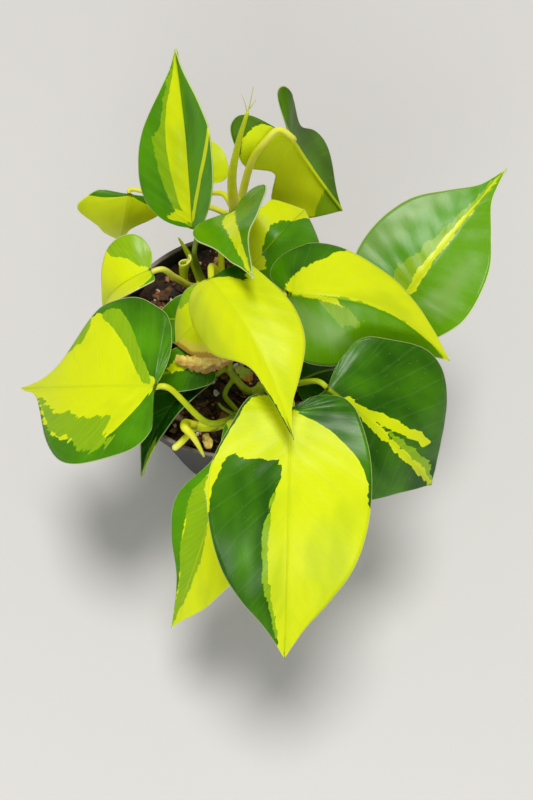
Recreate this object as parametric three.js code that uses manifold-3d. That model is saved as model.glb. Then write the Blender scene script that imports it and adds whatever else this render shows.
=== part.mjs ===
// A bushy potted philodendron with heart-shaped, two-coloured leaves.
// Millimetres, +Z up. The origin is the centre of the pot's foot, on the surface it stands on.
import * as THREE from 'three';
import { mergeVertices } from 'three/addons/utils/BufferGeometryUtils.js';
import Module from 'manifold-3d';

const wasm = await Module();
wasm.setup();

// Pot
const rimRadius = 55;
const rimDrop = 11;
const rimThickness = 2.2;
const potHeight = 95;
const collarRadius = 52.2;
const footRadius = 38;
const wallThickness = 1.5;
const floorThickness = 2.4;
const drainRadius = 3;
const drainCircle = 27;
const drainCount = 6;
const potSides = 48;

// Soil
const soilHeight = 87;
const soilGap = 0.35;
const soilRings = 11;
const soilSectors = 40;
const chipHeight = 3.2;
const chipCount = 46;
const rootDepth = 12;

// Blades and stems
const bladeThickness = 0.7;
const bladeRows = 16;
const bladeColumns = 3;
const seatGap = 0.3;
const stalkClearance = 0.25;
const veinLean = 0.25;
const sinusDepth = 0.165;
const stemSides = 7;
const footOverStem = 0.4;

const leafGreen = new THREE.Color(0.33, 0.52, 0.07);
const leafLime = new THREE.Color(0.72, 0.78, 0.05);
const leafDark = new THREE.Color(0.12, 0.27, 0.05);
const stemLime = new THREE.Color(0.62, 0.66, 0.1);
const sheathBrown = new THREE.Color(0.62, 0.44, 0.18);
const soilBrown = new THREE.Color(0.16, 0.1, 0.06);
const potGrey = new THREE.Color(0.09, 0.09, 0.095);

// Half of the heart outline: distance along the midrib (0 base, 1 tip) and across (1 = half the width).
const halfHeart = [
  [0, 0], [-0.075, 0.1], [-0.15, 0.3], [-0.165, 0.52], [-0.11, 0.76], [0.02, 0.94], [0.17, 1],
  [0.34, 0.955], [0.51, 0.8], [0.67, 0.57], [0.8, 0.35], [0.9, 0.17], [1, 0],
];
// The same for a blade with a rounded base and no lobe.
const halfOvate = [
  [0, 0], [0, 0.18], [0.01, 0.36], [0.04, 0.6], [0.1, 0.82], [0.18, 0.95], [0.3, 1],
  [0.43, 0.97], [0.57, 0.84], [0.7, 0.63], [0.82, 0.38], [0.91, 0.17], [1, 0],
];
const tipDrip = [0, 0, 0, 0, 0, 0, 0, 0, 0, 0.1, 0.17, 0.1, 0];

// One entry a leaf: base and tip of the midrib, the way its upper face looks, and its form.
// arch lifts the midrib's middle, bow shifts it sideways. fold and curl are degrees for each half;
// oval, lobes, belly, drip, wide and bumps shape the outline of the left (0) and right (1) half. A bump
// is its place along the midrib, how much wider the blade is there, and how far that reaches.
const plainLeaf = {
  width: 50, arch: 6, bow: 0, fold: [8, 8], curl: [0, 0], nape: 0,
  oval: [0, 0], lobes: [1, 1], belly: [1, 1], drip: [0.5, 0.5], wide: [1, 1], bumps: [[], []],
  color: leafLime,
};
const leaves = {
  leaf_tall: {
    base: [-18, 42, 122], tip: [-23, 92, 178], face: [-0.35, -0.5, 0.8], width: 38, arch: 2, bow: 2,
    fold: [10, 36], curl: [-8, -8], oval: [1, 1], belly: [1, 0.9], drip: [0.3, 0.3], wide: [1.2, 0.92],
    bumps: [[], [[0.68, 0.2, 0.18], [0.1, -0.2, 0.15]]], color: leafGreen,
  },
  leaf_far_left: {
    base: [-48, 66, 110], tip: [-57, 63, 75], face: [0.05, -1, 0.25], width: 42, arch: 5,
    fold: [-5, -5], oval: [0.5, 0.8], lobes: [0.1, 0.1], belly: [0.8, 0.7], drip: [0.8, 0.8], wide: [1, 1.15],
    bumps: [[[0.75, -0.3, 0.2]], [[0.6, -0.2, 0.2]]],
  },
  leaf_droop: {
    base: [24, 75, 142], tip: [49, 66, 97], face: [-0.4, 0.8, -0.4], width: 54, fold: [15, 48],
    lobes: [2, 1.3], nape: 65, belly: [0.5, 1], drip: [-1, 0.2], wide: [1, 0.85],
    bumps: [[[0.35, -0.45, 0.18]], [[0.2, -0.5, 0.2], [0.68, 0.35, 0.18]]], color: leafGreen,
  },
  leaf_sliver: {
    base: [-14, 73, 112], tip: [-20, 98, 114], face: [0, -0.1, 1], width: 24, arch: 3,
    fold: [8, 8], lobes: [0.6, 0.6],
  },
  leaf_folded: {
    base: [1, 38, 142], tip: [9, -15, 182], face: [-0.43, 0.42, 0.78], width: 44, arch: 2,
    fold: [14, 10], oval: [0, 0.6], lobes: [1.2, 0.05], belly: [1.5, 0.9], drip: [0.8, 0.8], wide: [0.78, 0.9],
    bumps: [[[0.6, -0.6, 0.28]], [[0.6, -0.4, 0.25]]], color: leafGreen,
  },
  leaf_curled: {
    base: [7, 29, 110], tip: [31, 57, 112], face: [0.3, -0.1, 1], width: 36, arch: 10,
    fold: [0, 0], curl: [-20, -20], lobes: [0.3, 0.3], belly: [1, 0.5], drip: [-1, 0], wide: [1.05, 1.4],
    bumps: [[[0.85, 0.4, 0.15]], []],
  },
  leaf_centre: {
    base: [-8, -4, 160], tip: [24, -69, 157], face: [-0.1, -0.45, 0.9], width: 50, arch: 8, bow: -5,
    fold: [-12, -12], curl: [-20, -45], oval: [0.5, 0], lobes: [0.3, 0.6], belly: [0.9, 1], drip: [1, 1],
    wide: [0.86, 0.9], bumps: [[[0.15, -0.12, 0.2]], [[0.62, -0.6, 0.2]]],
  },
  leaf_right: {
    base: [24, -6, 152], tip: [88, -26, 132], face: [0, -0.1, 1], width: 60, arch: 8, bow: -6,
    fold: [-25, -38], drip: [0.3, 0.3], bumps: [[[0.5, -0.18, 0.3]], []],
  },
  leaf_right_up: {
    base: [73, 10, 118], tip: [119, 67, 130], face: [0, -0.1, 1], width: 54, arch: 3,
    fold: [0, 10], belly: [1, 1.3], drip: [1, 1], wide: [1.1, 1], color: leafGreen,
  },
  leaf_right_low: {
    base: [38, -44, 146], tip: [83, -67, 97], face: [0.35, -0.5, 0.85], width: 76, arch: 10,
    fold: [-4, -12], lobes: [0.3, 0.3], belly: [0.75, 0.9], drip: [0, 0], bumps: [[[0, -0.2, 0.2]], []],
    color: leafDark,
  },
  leaf_front: {
    base: [23, -54, 148], tip: [21, -139, 98], face: [0, -0.5, 0.85], width: 62, arch: 13,
    fold: [4, 4], lobes: [0.4, 0.4], belly: [0.8, 0.8], drip: [0.4, 0.4],
    bumps: [[[0, -0.08, 0.12]], [[-0.02, -0.3, 0.16], [0.75, 0.06, 0.15]]],
  },
  leaf_front_left: {
    base: [1, -59, 112], tip: [-27, -120, 60], face: [-0.4, -0.4, 0.9], width: 48, arch: 10, bow: -4,
    fold: [6, 0], wide: [1, 0.74],
    bumps: [[[0.85, 0.35, 0.15]], [[0.02, -0.55, 0.16], [0.3, 0.06, 0.15], [0.75, -0.3, 0.2]]],
  },
  leaf_left: {
    base: [-31, -37, 132], tip: [-96, -17, 82], face: [-0.5, -0.1, 0.9], width: 72, arch: 8, bow: -2,
    fold: [-4, -4], oval: [0.6, 0], lobes: [0.1, 0.35], belly: [0.62, 1.2], drip: [0.8, 1.2], wide: [0.9, 1.1],
    bumps: [[[0.84, -0.8, 0.17], [0.62, -0.08, 0.12]], [[0.68, -0.32, 0.15], [0.42, 0.04, 0.12], [0, -0.12, 0.12]]],
  },
  leaf_small_left: {
    base: [-36, 19, 125], tip: [-58, 12, 104], face: [-0.3, -0.2, 0.9], width: 40, arch: 5,
    fold: [35, 0], lobes: [0.2, 0.8], drip: [0.5, -0.3], wide: [0.5, 1],
  },
  leaf_mid: {
    base: [-2, -3, 132], tip: [-24, -12, 118], face: [-0.2, -0.2, 0.9], width: 34,
    fold: [-10, -10], lobes: [0.6, 0.6], belly: [0.7, 0.7], drip: [-1, -1],
  },
  leaf_mid_back: {
    base: [-14, 2, 108], tip: [-37, 5, 104], face: [0, 0, 1], width: 26, arch: 4,
    fold: [5, 5], lobes: [0.5, 0.5], drip: [0.2, 0.2], color: leafGreen,
  },
  leaf_mid_green: {
    base: [-10, -19, 116], tip: [-40, -26, 109], face: [0, -0.2, 1], width: 20, arch: 3,
    fold: [-10, -10], lobes: [0.3, 0.3], belly: [0.8, 0.8], drip: [0, 0], color: leafGreen,
  },
  leaf_dark: {
    base: [-13, -19, 99], tip: [-40, -60, 86], face: [-0.3, 0.1, 1], width: 22, arch: 7, bow: 2,
    fold: [28, 58], lobes: [0.3, 0.3], drip: [0.2, 0.2], wide: [0.85, 1], color: leafDark,
  },
  leaf_shade: {
    base: [27, -25, 106], tip: [50, -16, 100], face: [0, 0.2, 1], width: 22, arch: 4,
    fold: [-6, -6], lobes: [0.4, 0.4], color: leafDark,
  },
};

// One entry a vine: where it leaves the soil, and its fused stems, stalks and shoots, each a list of
// points with the radius at its two ends. A stalk named after a leaf stops just short of that leaf.
const vines = {
  vine_left: {
    root: [-15, 31],
    parts: [
      { path: [[-15, 31, 88], [-17, 35, 100], [-18, 36, 110]], leaf: 'leaf_tall', radii: [1.7, 1.1] },
      { path: [[-15, 31, 89], [-20, 27, 96], [-26, 23, 112]], leaf: 'leaf_small_left', radii: [1.8, 1.2] },
      { path: [[-15, 31, 89], [-18, 35, 98], [-22, 39, 108], [-25, 41, 116]], radii: [2.6, 0.5] },
      { path: [[-16, 30, 89], [-21, 27, 96], [-23, 28, 104], [-22, 31, 112]], radii: [1.6, 2.4] },
    ],
  },
  vine_centre: {
    root: [-2, 10],
    parts: [
      { path: [[-2, 10, 88], [-5, 17, 118], [-8, 11, 147]], leaf: 'leaf_centre', radii: [2.2, 1.2] },
      { path: [[-2, 10, 89], [-6, 30, 98], [-5, 42, 118]], leaf: 'leaf_folded', radii: [1.8, 1.1] },
      { path: [[-2, 10, 90], [2, 17, 101]], leaf: 'leaf_curled', radii: [1.6, 1] },
      { path: [[-3, 13, 98], [2, 0, 117]], leaf: 'leaf_mid', radii: [1.6, 1] },
      { path: [[-3, 9, 90], [-6, 5, 97]], leaf: 'leaf_mid_back', radii: [1.4, 0.9] },
    ],
  },
  vine_front: {
    root: [12, -20],
    parts: [
      { path: [[12, -20, 89], [10, -26, 94], [4, -35, 98], [-5, -41, 100], [-13, -43, 102], [-22, -42, 104]],
        radii: [2.4, 2.2] },
      { path: [[0, -38, 99], [-11, -44, 110]], leaf: 'leaf_left', radii: [1.5, 1.2] },
      { path: [[6, -32, 97], [14, -38, 115]], leaf: 'leaf_front', radii: [1.8, 1.3] },
      { path: [[1, -37, 98], [4, -45, 107]], leaf: 'leaf_front_left', radii: [1.7, 1.2] },
      { path: [[-20, -42, 104], [-20, -46, 109], [-17, -49, 108], [-14, -53, 104], [-12, -56, 99]],
        radii: [2.3, 0.6] },
      { path: [[-16, -43, 102], [-22, -49, 99.5], [-26, -52, 98]], radii: [1.5, 1.5] },
      { path: [[12, -20, 89], [6, -23, 93], [0, -18, 97], [-3, -14, 99]], radii: [2, 1.5] },
      { path: [[0, -18, 96], [-4, -14, 96]], leaf: 'leaf_dark', radii: [1.4, 0.9] },
      { path: [[-2, -15, 98], [-2, -13, 104]], leaf: 'leaf_mid_green', radii: [1.3, 0.9] },
      { path: [[0, -18, 97], [-4, -26, 97], [-1, -31, 97], [3, -36, 98]], radii: [1.2, 1.2] },
      { path: [[8, -31, 97], [2, -37, 101], [-4, -35, 102], [-7, -32, 103]], radii: [1.2, 0.7] },
    ],
  },
  vine_right: {
    root: [27, -14],
    parts: [
      { path: [[27, -14, 88], [25, -9, 110], [20, -5, 135]], leaf: 'leaf_right', radii: [2.2, 1.2] },
      { path: [[27, -14, 92], [42, -6, 106], [58, 0, 111]], leaf: 'leaf_right_up', radii: [1.7, 1.2] },
      { path: [[27, -14, 89], [18, -23, 102], [22, -30, 116]], leaf: 'leaf_right_low', radii: [1.6, 1.1] },
      { path: [[27, -14, 90], [22, -22, 97]], leaf: 'leaf_shade', radii: [1.3, 0.9] },
    ],
  },
  vine_back: {
    root: [3, 42],
    parts: [
      { path: [[3, 42, 88], [2, 50, 97], [0, 56, 109]], radii: [2.6, 3] },
      { path: [[0, 56, 107], [-1, 61, 130], [2, 65, 152], [8, 71, 170], [9, 74, 178]], radii: [2.8, 0.5] },
      { path: [[1, 57, 106], [4, 63, 121], [8, 67, 137], [13, 69, 146], [19, 72, 151]], leaf: 'leaf_droop',
        radii: [1.9, 1.1] },
      { path: [[0, 57, 107], [-5, 65, 112]], leaf: 'leaf_sliver', radii: [1.6, 0.9] },
      { path: [[0, 57, 105], [-11, 59, 111], [-27, 63, 112], [-40, 67, 111]], leaf: 'leaf_far_left',
        radii: [1.5, 1] },
    ],
  },
};

// Dried papery sheaths: flat strips given by their middle line, width and the way they face.
const sheaths = {
  sheath_under: { path: [[-24, -20, 119], [-19, -22.5, 119.5], [-11, -24, 120.5], [1, -21, 123]], width: 7,
    face: [0, -0.6, 0.8] },
  sheath_stub: { path: [[1.5, -24.2, 121.5], [5, -24.5, 116], [7, -25, 109]], width: 5, face: [0.2, -0.8, 0.5] },
  sheath_low: { path: [[-12, -45.6, 100.5], [-11, -48.5, 98.5], [-10.5, -51, 96.8]], width: 4, face: [0, -0.5, 0.8] },
};

const vector = (p) => new THREE.Vector3(p[0], p[1], p[2]);

// Random numbers that are the same on every run.
function seeded(seed) {
  let state = seed;
  return () => {
    state = (state * 16807) % 2147483647;
    return state / 2147483647;
  };
}

function toManifold(geometry) {
  const plain = new THREE.BufferGeometry();
  plain.setAttribute('position', geometry.getAttribute('position').clone());
  if (geometry.index) plain.setIndex(geometry.index.clone());
  const merged = mergeVertices(plain, 1e-3);
  return new wasm.Manifold(new wasm.Mesh({
    numProp: 3,
    vertProperties: new Float32Array(merged.getAttribute('position').array),
    triVerts: new Uint32Array(merged.index.array),
  }));
}

function fromManifold(solid) {
  const mesh = solid.getMesh();
  const geometry = new THREE.BufferGeometry();
  geometry.setAttribute('position', new THREE.BufferAttribute(new Float32Array(mesh.vertProperties), 3));
  geometry.setIndex(new THREE.BufferAttribute(new Uint32Array(mesh.triVerts), 1));
  geometry.computeVertexNormals();
  return geometry;
}

// Triangles from a grid of points, leaving out cells that have shrunk to a line.
function gridSurface(grid) {
  const positions = [];
  const index = [];
  const width = grid[0].length;
  grid.forEach((row) => row.forEach((p) => positions.push(p.x, p.y, p.z)));
  for (let i = 0; i < grid.length - 1; i += 1) {
    for (let j = 0; j < width - 1; j += 1) {
      const a = i * width + j;
      const b = a + width;
      index.push(a, b, b + 1, a, b + 1, a + 1);
    }
  }
  const surface = new THREE.BufferGeometry();
  surface.setAttribute('position', new THREE.Float32BufferAttribute(positions, 3));
  surface.setIndex(index);
  return withoutSlivers(mergeVertices(surface, 1e-3));
}

function withoutSlivers(surface) {
  const kept = [];
  const all = surface.index.array;
  for (let i = 0; i < all.length; i += 3) {
    const [a, b, c] = [all[i], all[i + 1], all[i + 2]];
    if (a !== b && b !== c && c !== a) kept.push(a, b, c);
  }
  surface.setIndex(kept);
  return surface;
}

function signedVolume(geometry) {
  const position = geometry.getAttribute('position');
  const corner = (i) => new THREE.Vector3().fromBufferAttribute(position, geometry.index.array[i]);
  let volume = 0;
  for (let i = 0; i < geometry.index.count; i += 3) {
    volume += corner(i).dot(corner(i + 1).cross(corner(i + 2))) / 6;
  }
  return volume;
}

// Gives an open surface a thickness: two faces with the same triangles, and a wall along its edge.
function thicken(surface, thickness) {
  surface.computeVertexNormals();
  const position = surface.getAttribute('position');
  const normal = surface.getAttribute('normal');
  const count = position.count;
  const points = [];
  for (const side of [0.5, -0.5]) {
    for (let i = 0; i < count; i += 1) {
      const p = new THREE.Vector3().fromBufferAttribute(position, i);
      const n = new THREE.Vector3().fromBufferAttribute(normal, i);
      p.addScaledVector(n, side * thickness);
      points.push(p.x, p.y, p.z);
    }
  }
  const faces = [];
  const edges = new Map();
  const flat = surface.index.array;
  for (let i = 0; i < flat.length; i += 3) {
    const corners = [flat[i], flat[i + 1], flat[i + 2]];
    faces.push(...corners, corners[0] + count, corners[2] + count, corners[1] + count);
    corners.forEach((a, k) => {
      const b = corners[(k + 1) % 3];
      if (edges.has(`${b},${a}`)) edges.delete(`${b},${a}`);
      else edges.set(`${a},${b}`, [a, b]);
    });
  }
  for (const [a, b] of edges.values()) {
    faces.push(b, a, a + count, b, a + count, b + count);
  }
  const solid = new THREE.BufferGeometry();
  solid.setAttribute('position', new THREE.Float32BufferAttribute(points, 3));
  solid.setIndex(faces);
  solid.computeVertexNormals();
  return solid;
}

// The midrib at a distance along it (0 base, 1 tip), with the blade's own directions there.
function midribFrame(leaf, along) {
  const base = vector(leaf.base);
  const chord = vector(leaf.tip).sub(base);
  const length = chord.length();
  const forward = chord.clone().normalize();
  const up = vector(leaf.face).projectOnPlane(forward).normalize();
  const right = forward.clone().cross(up);
  const at = (x) => base.clone()
    .addScaledVector(forward, x * length)
    .addScaledVector(up, leaf.arch * Math.sin(Math.PI * x ** 0.868))
    .addScaledVector(right, leaf.bow * Math.sin(Math.PI * x));
  const tangent = at(Math.min(along + 0.01, 1)).sub(at(Math.max(along - 0.01, 0))).normalize();
  const normal = up.clone().projectOnPlane(tangent).normalize();
  return { origin: at(along), tangent, normal, side: tangent.clone().cross(normal), length };
}

// A point of the blade: x along the midrib, y across its half (0 midrib, 1 margin at the widest).
function bladePoint(leaf, half, x, y) {
  const { origin, tangent, normal, side, length } = midribFrame(leaf, Math.max(x, 0));
  const halfWidth = leaf.width / 2 * leaf.wide[half];
  const fold = THREE.MathUtils.degToRad(leaf.fold[half]);
  const bend = THREE.MathUtils.degToRad(leaf.curl[half]) || 1e-6;
  const across = halfWidth / bend * (Math.sin(fold + bend * y) - Math.sin(fold));
  const lift = halfWidth / bend * (Math.cos(fold) - Math.cos(fold + bend * y));
  const point = origin.clone();
  if (x < 0) {
    const nape = THREE.MathUtils.degToRad(leaf.nape) * (-x / sinusDepth);
    point.addScaledVector(tangent, x * length * Math.cos(nape / 2));
    point.addScaledVector(normal, -x * length * Math.sin(nape / 2));
  }
  point.addScaledVector(side, across * (half === 1 ? 1 : -1));
  return point.addScaledVector(normal, lift);
}

// The outline of one half, from the base round the lobe to the tip.
function halfOutline(leaf, half) {
  const points = halfHeart.map(([heartX, heartY], i) => {
    const [ovateX, ovateY] = halfOvate[i];
    const share = leaf.oval[half];
    const x = heartX * (1 - share) + ovateX * share;
    const y = heartY * (1 - share) + ovateY * share;
    return new THREE.Vector3(
      x < 0 ? x * leaf.lobes[half] : x ** leaf.belly[half],
      y - tipDrip[i] * leaf.drip[half],
      0,
    );
  });
  const curve = new THREE.CatmullRomCurve3(points, false, 'catmullrom', 0.5);
  return curve.getPoints(bladeRows).map((p) => {
    const wider = leaf.bumps[half].reduce(
      (sum, [place, amount, reach]) => sum + amount * Math.exp(-(((p.x - place) / reach) ** 2)),
      1,
    );
    return new THREE.Vector3(p.x, p.y * wider, 0);
  });
}

// Rows follow the side veins, from a point of the midrib out to the margin.
function bladeGeometry(settings) {
  const leaf = { ...plainLeaf, ...settings };
  const heart = halfHeart.map(([x, y]) => new THREE.Vector3(x, y, 0));
  const veinStarts = new THREE.CatmullRomCurve3(heart, false, 'catmullrom', 0.5).getPoints(bladeRows)
    .map((p) => (p.x <= 0 ? 0 : p.x * (p.x + veinLean) / (1 + veinLean)));
  const outlines = [halfOutline(leaf, 0), halfOutline(leaf, 1)];
  const grid = [];
  for (let row = 1; row <= bladeRows; row += 1) {
    const line = [];
    for (let column = -bladeColumns; column <= bladeColumns; column += 1) {
      const half = column > 0 ? 1 : 0;
      const reach = Math.abs(column) / bladeColumns;
      const margin = outlines[half][row];
      const x = veinStarts[row] + (margin.x - veinStarts[row]) * reach;
      line.push(bladePoint(leaf, half, x, margin.y * reach));
    }
    grid.push(line);
  }
  return thicken(gridSurface(grid), bladeThickness);
}

// A round stem through a list of points, tapering from one radius to the other.
function stalkGeometry(path, radii) {
  const curve = new THREE.CatmullRomCurve3(path.map(vector), false, 'catmullrom', 0.5);
  const steps = Math.max(3, Math.round(curve.getLength() / 6));
  const frames = curve.computeFrenetFrames(steps, false);
  const rings = [];
  for (let i = 0; i <= steps; i += 1) {
    const centre = curve.getPointAt(i / steps);
    const radius = radii[0] + (radii[1] - radii[0]) * (i / steps);
    const ring = [];
    for (let k = 0; k <= stemSides; k += 1) {
      const angle = (k % stemSides) / stemSides * 2 * Math.PI;
      ring.push(centre.clone()
        .addScaledVector(frames.normals[i], radius * Math.cos(angle))
        .addScaledVector(frames.binormals[i], radius * Math.sin(angle)));
    }
    rings.push(ring);
  }
  const start = new Array(stemSides + 1).fill(curve.getPointAt(0));
  const end = new Array(stemSides + 1).fill(curve.getPointAt(1));
  const tube = gridSurface([start, ...rings, end]);
  if (signedVolume(tube) < 0) tube.index.array.reverse();
  return tube;
}

// The last two points of a leaf's stalk: behind its base, and just under it.
function stalkEnd(leafName, radius) {
  const leaf = { ...plainLeaf, ...leaves[leafName] };
  const { origin, tangent, normal } = midribFrame(leaf, 0);
  const below = bladeThickness / 2 + seatGap + radius + stalkClearance;
  return [[-6, -below - 1], [0.5, -below]].map(([along, up]) => origin.clone()
    .addScaledVector(tangent, along)
    .addScaledVector(normal, up)
    .toArray());
}

function vineGeometry(vine) {
  const [x, y] = vine.root;
  const rootRadius = vine.parts[0].radii[0] + footOverStem;
  const foot = [[x, y, soilHeight - rootDepth], [x, y, soilHeight - 4], [x, y, soilHeight + 6]];
  let solid = toManifold(stalkGeometry(foot, [rootRadius, rootRadius]));
  for (const part of vine.parts) {
    const path = part.leaf ? [...part.path, ...stalkEnd(part.leaf, part.radii[1])] : part.path;
    solid = solid.add(toManifold(stalkGeometry(path, part.radii)));
  }
  return fromManifold(solid);
}

// A dried sheath: a thin strip along a line, cupped across its width.
function sheathGeometry(sheath) {
  const curve = new THREE.CatmullRomCurve3(sheath.path.map(vector), false, 'catmullrom', 0.5);
  const face = vector(sheath.face).normalize();
  const rows = 8;
  const grid = [];
  for (let i = 0; i <= rows; i += 1) {
    const t = i / rows;
    const centre = curve.getPointAt(t);
    const side = curve.getTangentAt(t).cross(face).normalize();
    const reach = sheath.width / 2 * (0.55 + 0.45 * Math.sin(Math.PI * (0.15 + 0.8 * t)));
    grid.push([-1, -0.5, 0, 0.5, 1].map((k) => centre.clone()
      .addScaledVector(side, k * reach)
      .addScaledVector(face, -0.35 * reach * k * k + 0.3 * Math.sin(9 * t + 2 * k))));
  }
  return thicken(gridSurface(grid), bladeThickness);
}

function potProfile() {
  const innerRim = rimRadius - rimThickness;
  const innerFoot = footRadius - wallThickness;
  const collar = potHeight - rimDrop;
  const points = [
    [0, 0], [footRadius - 1, 0], [footRadius, 1], [collarRadius - 1.2, collar - 2],
    [collarRadius - 1, collar], [rimRadius - 1, collar], [rimRadius - 0.5, potHeight - 2.5],
    [rimRadius, potHeight - 2], [rimRadius, potHeight - 0.6], [rimRadius - 0.6, potHeight],
    [innerRim + 0.5, potHeight], [innerRim, potHeight - 0.5], [innerRim - 0.6, collar + 1],
    [collarRadius - 1.2 - wallThickness, collar - 2], [innerFoot, floorThickness], [0, floorThickness],
  ];
  return points.map(([r, z]) => new THREE.Vector2(r, z));
}

function latheUpright(profile, sides) {
  const geometry = new THREE.LatheGeometry(profile, sides);
  geometry.rotateX(Math.PI / 2);
  const merged = new THREE.BufferGeometry();
  merged.setAttribute('position', geometry.getAttribute('position'));
  merged.setIndex(geometry.index);
  const solid = withoutSlivers(mergeVertices(merged, 1e-3));
  if (signedVolume(solid) < 0) solid.index.array.reverse();
  return solid;
}

function potGeometry() {
  let pot = toManifold(latheUpright(potProfile(), potSides));
  for (let i = 0; i < drainCount; i += 1) {
    const angle = (i + 0.5) / drainCount * 2 * Math.PI;
    const drill = new THREE.CylinderGeometry(drainRadius, drainRadius, 4 * floorThickness, 16);
    drill.rotateX(Math.PI / 2);
    drill.translate(drainCircle * Math.cos(angle), drainCircle * Math.sin(angle), 0);
    pot = pot.subtract(toManifold(drill));
  }
  return fromManifold(pot);
}

// Radius inside the pot wall at a height, less the gap kept to it.
function soilRadius(z) {
  const innerFoot = footRadius - wallThickness;
  const innerTop = collarRadius - 1.2 - wallThickness;
  const share = (z - floorThickness) / (potHeight - rimDrop - 2 - floorThickness);
  return innerFoot + (innerTop - innerFoot) * Math.min(share, 1) - soilGap;
}

// Bark chips and clods: seeded bumps of different size, height and flatness on a gently domed bed.
function soilHills() {
  const random = seeded(4127);
  const hills = [];
  for (let i = 0; i < chipCount; i += 1) {
    const radius = soilRadius(soilHeight) * Math.sqrt(random()) * 0.94;
    const angle = 2 * Math.PI * random();
    hills.push({
      x: radius * Math.cos(angle),
      y: radius * Math.sin(angle),
      size: 3.5 + 4.5 * random(),
      rise: chipHeight * (0.3 + 0.7 * random()),
    });
  }
  return hills;
}

function soilGeometry() {
  const hills = soilHills();
  const heightAt = (x, y) => hills.reduce((z, hill) => {
    const near = Math.max(0, 1 - ((x - hill.x) ** 2 + (y - hill.y) ** 2) / hill.size ** 2);
    return Math.max(z, soilHeight - 1.5 + hill.rise * Math.sqrt(near));
  }, soilHeight - 1.5);
  const grid = [];
  const ringAt = (radius, height) => {
    const ring = [];
    for (let k = 0; k <= soilSectors; k += 1) {
      const angle = (k % soilSectors) / soilSectors * 2 * Math.PI;
      const x = radius * Math.cos(angle);
      const y = radius * Math.sin(angle);
      ring.push(new THREE.Vector3(x, y, height === null ? heightAt(x, y) : height));
    }
    return ring;
  };
  const bottom = floorThickness + soilGap;
  grid.push(ringAt(0, bottom), ringAt(soilRadius(bottom), bottom));
  grid.push(ringAt(soilRadius(soilHeight - 2), soilHeight - 2));
  for (let i = soilRings - 1; i >= 0; i -= 1) {
    grid.push(ringAt(soilRadius(soilHeight - 2) * 0.995 * i / soilRings, null));
  }
  const bed = gridSurface(grid);
  if (signedVolume(bed) < 0) bed.index.array.reverse();
  let soil = toManifold(bed);
  for (const vine of Object.values(vines)) {
    const radius = vine.parts[0].radii[0] + footOverStem + seatGap + 0.2;
    const depth = 40;
    const hole = new THREE.CylinderGeometry(radius, radius, depth, 16);
    hole.rotateX(Math.PI / 2);
    hole.translate(vine.root[0], vine.root[1], soilHeight - rootDepth - seatGap + depth / 2);
    soil = soil.subtract(toManifold(hole));
  }
  return fromManifold(soil);
}

function named(name, geometry, color, roughness, metalness) {
  const material = new THREE.MeshStandardMaterial({ color, roughness, metalness });
  const mesh = new THREE.Mesh(geometry, material);
  mesh.name = name;
  return mesh;
}

const plant = new THREE.Group();
plant.add(named('pot', potGeometry(), potGrey, 0.5, 0));
plant.add(named('soil', soilGeometry(), soilBrown, 0.95, 0));
for (const [name, vine] of Object.entries(vines)) {
  plant.add(named(name, vineGeometry(vine), stemLime, 0.4, 0));
}
for (const [name, leaf] of Object.entries(leaves)) {
  plant.add(named(name, bladeGeometry(leaf), leaf.color ?? leafLime, 0.3, 0));
}
for (const [name, sheath] of Object.entries(sheaths)) {
  plant.add(named(name, sheathGeometry(sheath), sheathBrown, 0.8, 0));
}

export default plant;
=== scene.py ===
import math
import random

import bmesh
import bpy
from mathutils import Matrix, Vector, noise
from mathutils.kdtree import KDTree


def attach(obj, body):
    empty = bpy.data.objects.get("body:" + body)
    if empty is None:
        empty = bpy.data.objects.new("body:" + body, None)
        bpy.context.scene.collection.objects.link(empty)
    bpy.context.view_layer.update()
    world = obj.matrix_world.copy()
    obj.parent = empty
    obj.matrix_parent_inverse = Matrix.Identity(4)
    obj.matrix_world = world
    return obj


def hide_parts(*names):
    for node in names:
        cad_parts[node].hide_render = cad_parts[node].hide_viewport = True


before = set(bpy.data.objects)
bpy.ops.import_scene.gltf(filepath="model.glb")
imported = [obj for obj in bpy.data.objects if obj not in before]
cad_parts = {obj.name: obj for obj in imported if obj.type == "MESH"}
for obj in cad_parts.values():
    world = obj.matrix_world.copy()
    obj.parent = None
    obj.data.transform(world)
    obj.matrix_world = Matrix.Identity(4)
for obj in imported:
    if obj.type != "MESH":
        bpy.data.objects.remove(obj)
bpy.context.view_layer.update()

mm = 0.001
fullTurn = 2 * math.pi


# Camera, light and floor, in millimetres and degrees
cameraPlace = {"place": (14, -208.6, 541.9), "target": (14, -28, 95), "lens": 50, "clip": (10, 20000)}
studio = {
    "keyLight": {"place": (10, 150, 800), "spread": 20, "power": 2.25, "color": (1, 0.98, 0.95)},
    "fillLight": {"place": (-120, -1240, 860), "size": 600, "power": 6.6, "color": (0.96, 0.98, 1)},
    "aim": (0, 0, 110),
    "air": (1, 0.99, 0.97, 1),
    "airPower": 0.34,
    "floorSize": 6000, "floorColor": (0.60, 0.59, 0.575), "floorLight": (0.64, 0.63, 0.615),
}


def addObject(name, data):
    made = bpy.data.objects.new(name, data)
    bpy.context.scene.collection.objects.link(made)
    return made


def lookAt(thing, place, target):
    thing.location = Vector(place) * mm
    aim = (Vector(target) - Vector(place)).normalized()
    thing.rotation_mode = "QUATERNION"
    thing.rotation_quaternion = aim.to_track_quat("-Z", "Y")


def placeCamera():
    lens = bpy.data.cameras.new("photoCamera")
    lens.lens = cameraPlace["lens"]
    lens.clip_start, lens.clip_end = [end * mm for end in cameraPlace["clip"]]
    camera = addObject("photoCamera", lens)
    lookAt(camera, cameraPlace["place"], cameraPlace["target"])
    bpy.context.scene.camera = camera


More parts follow.
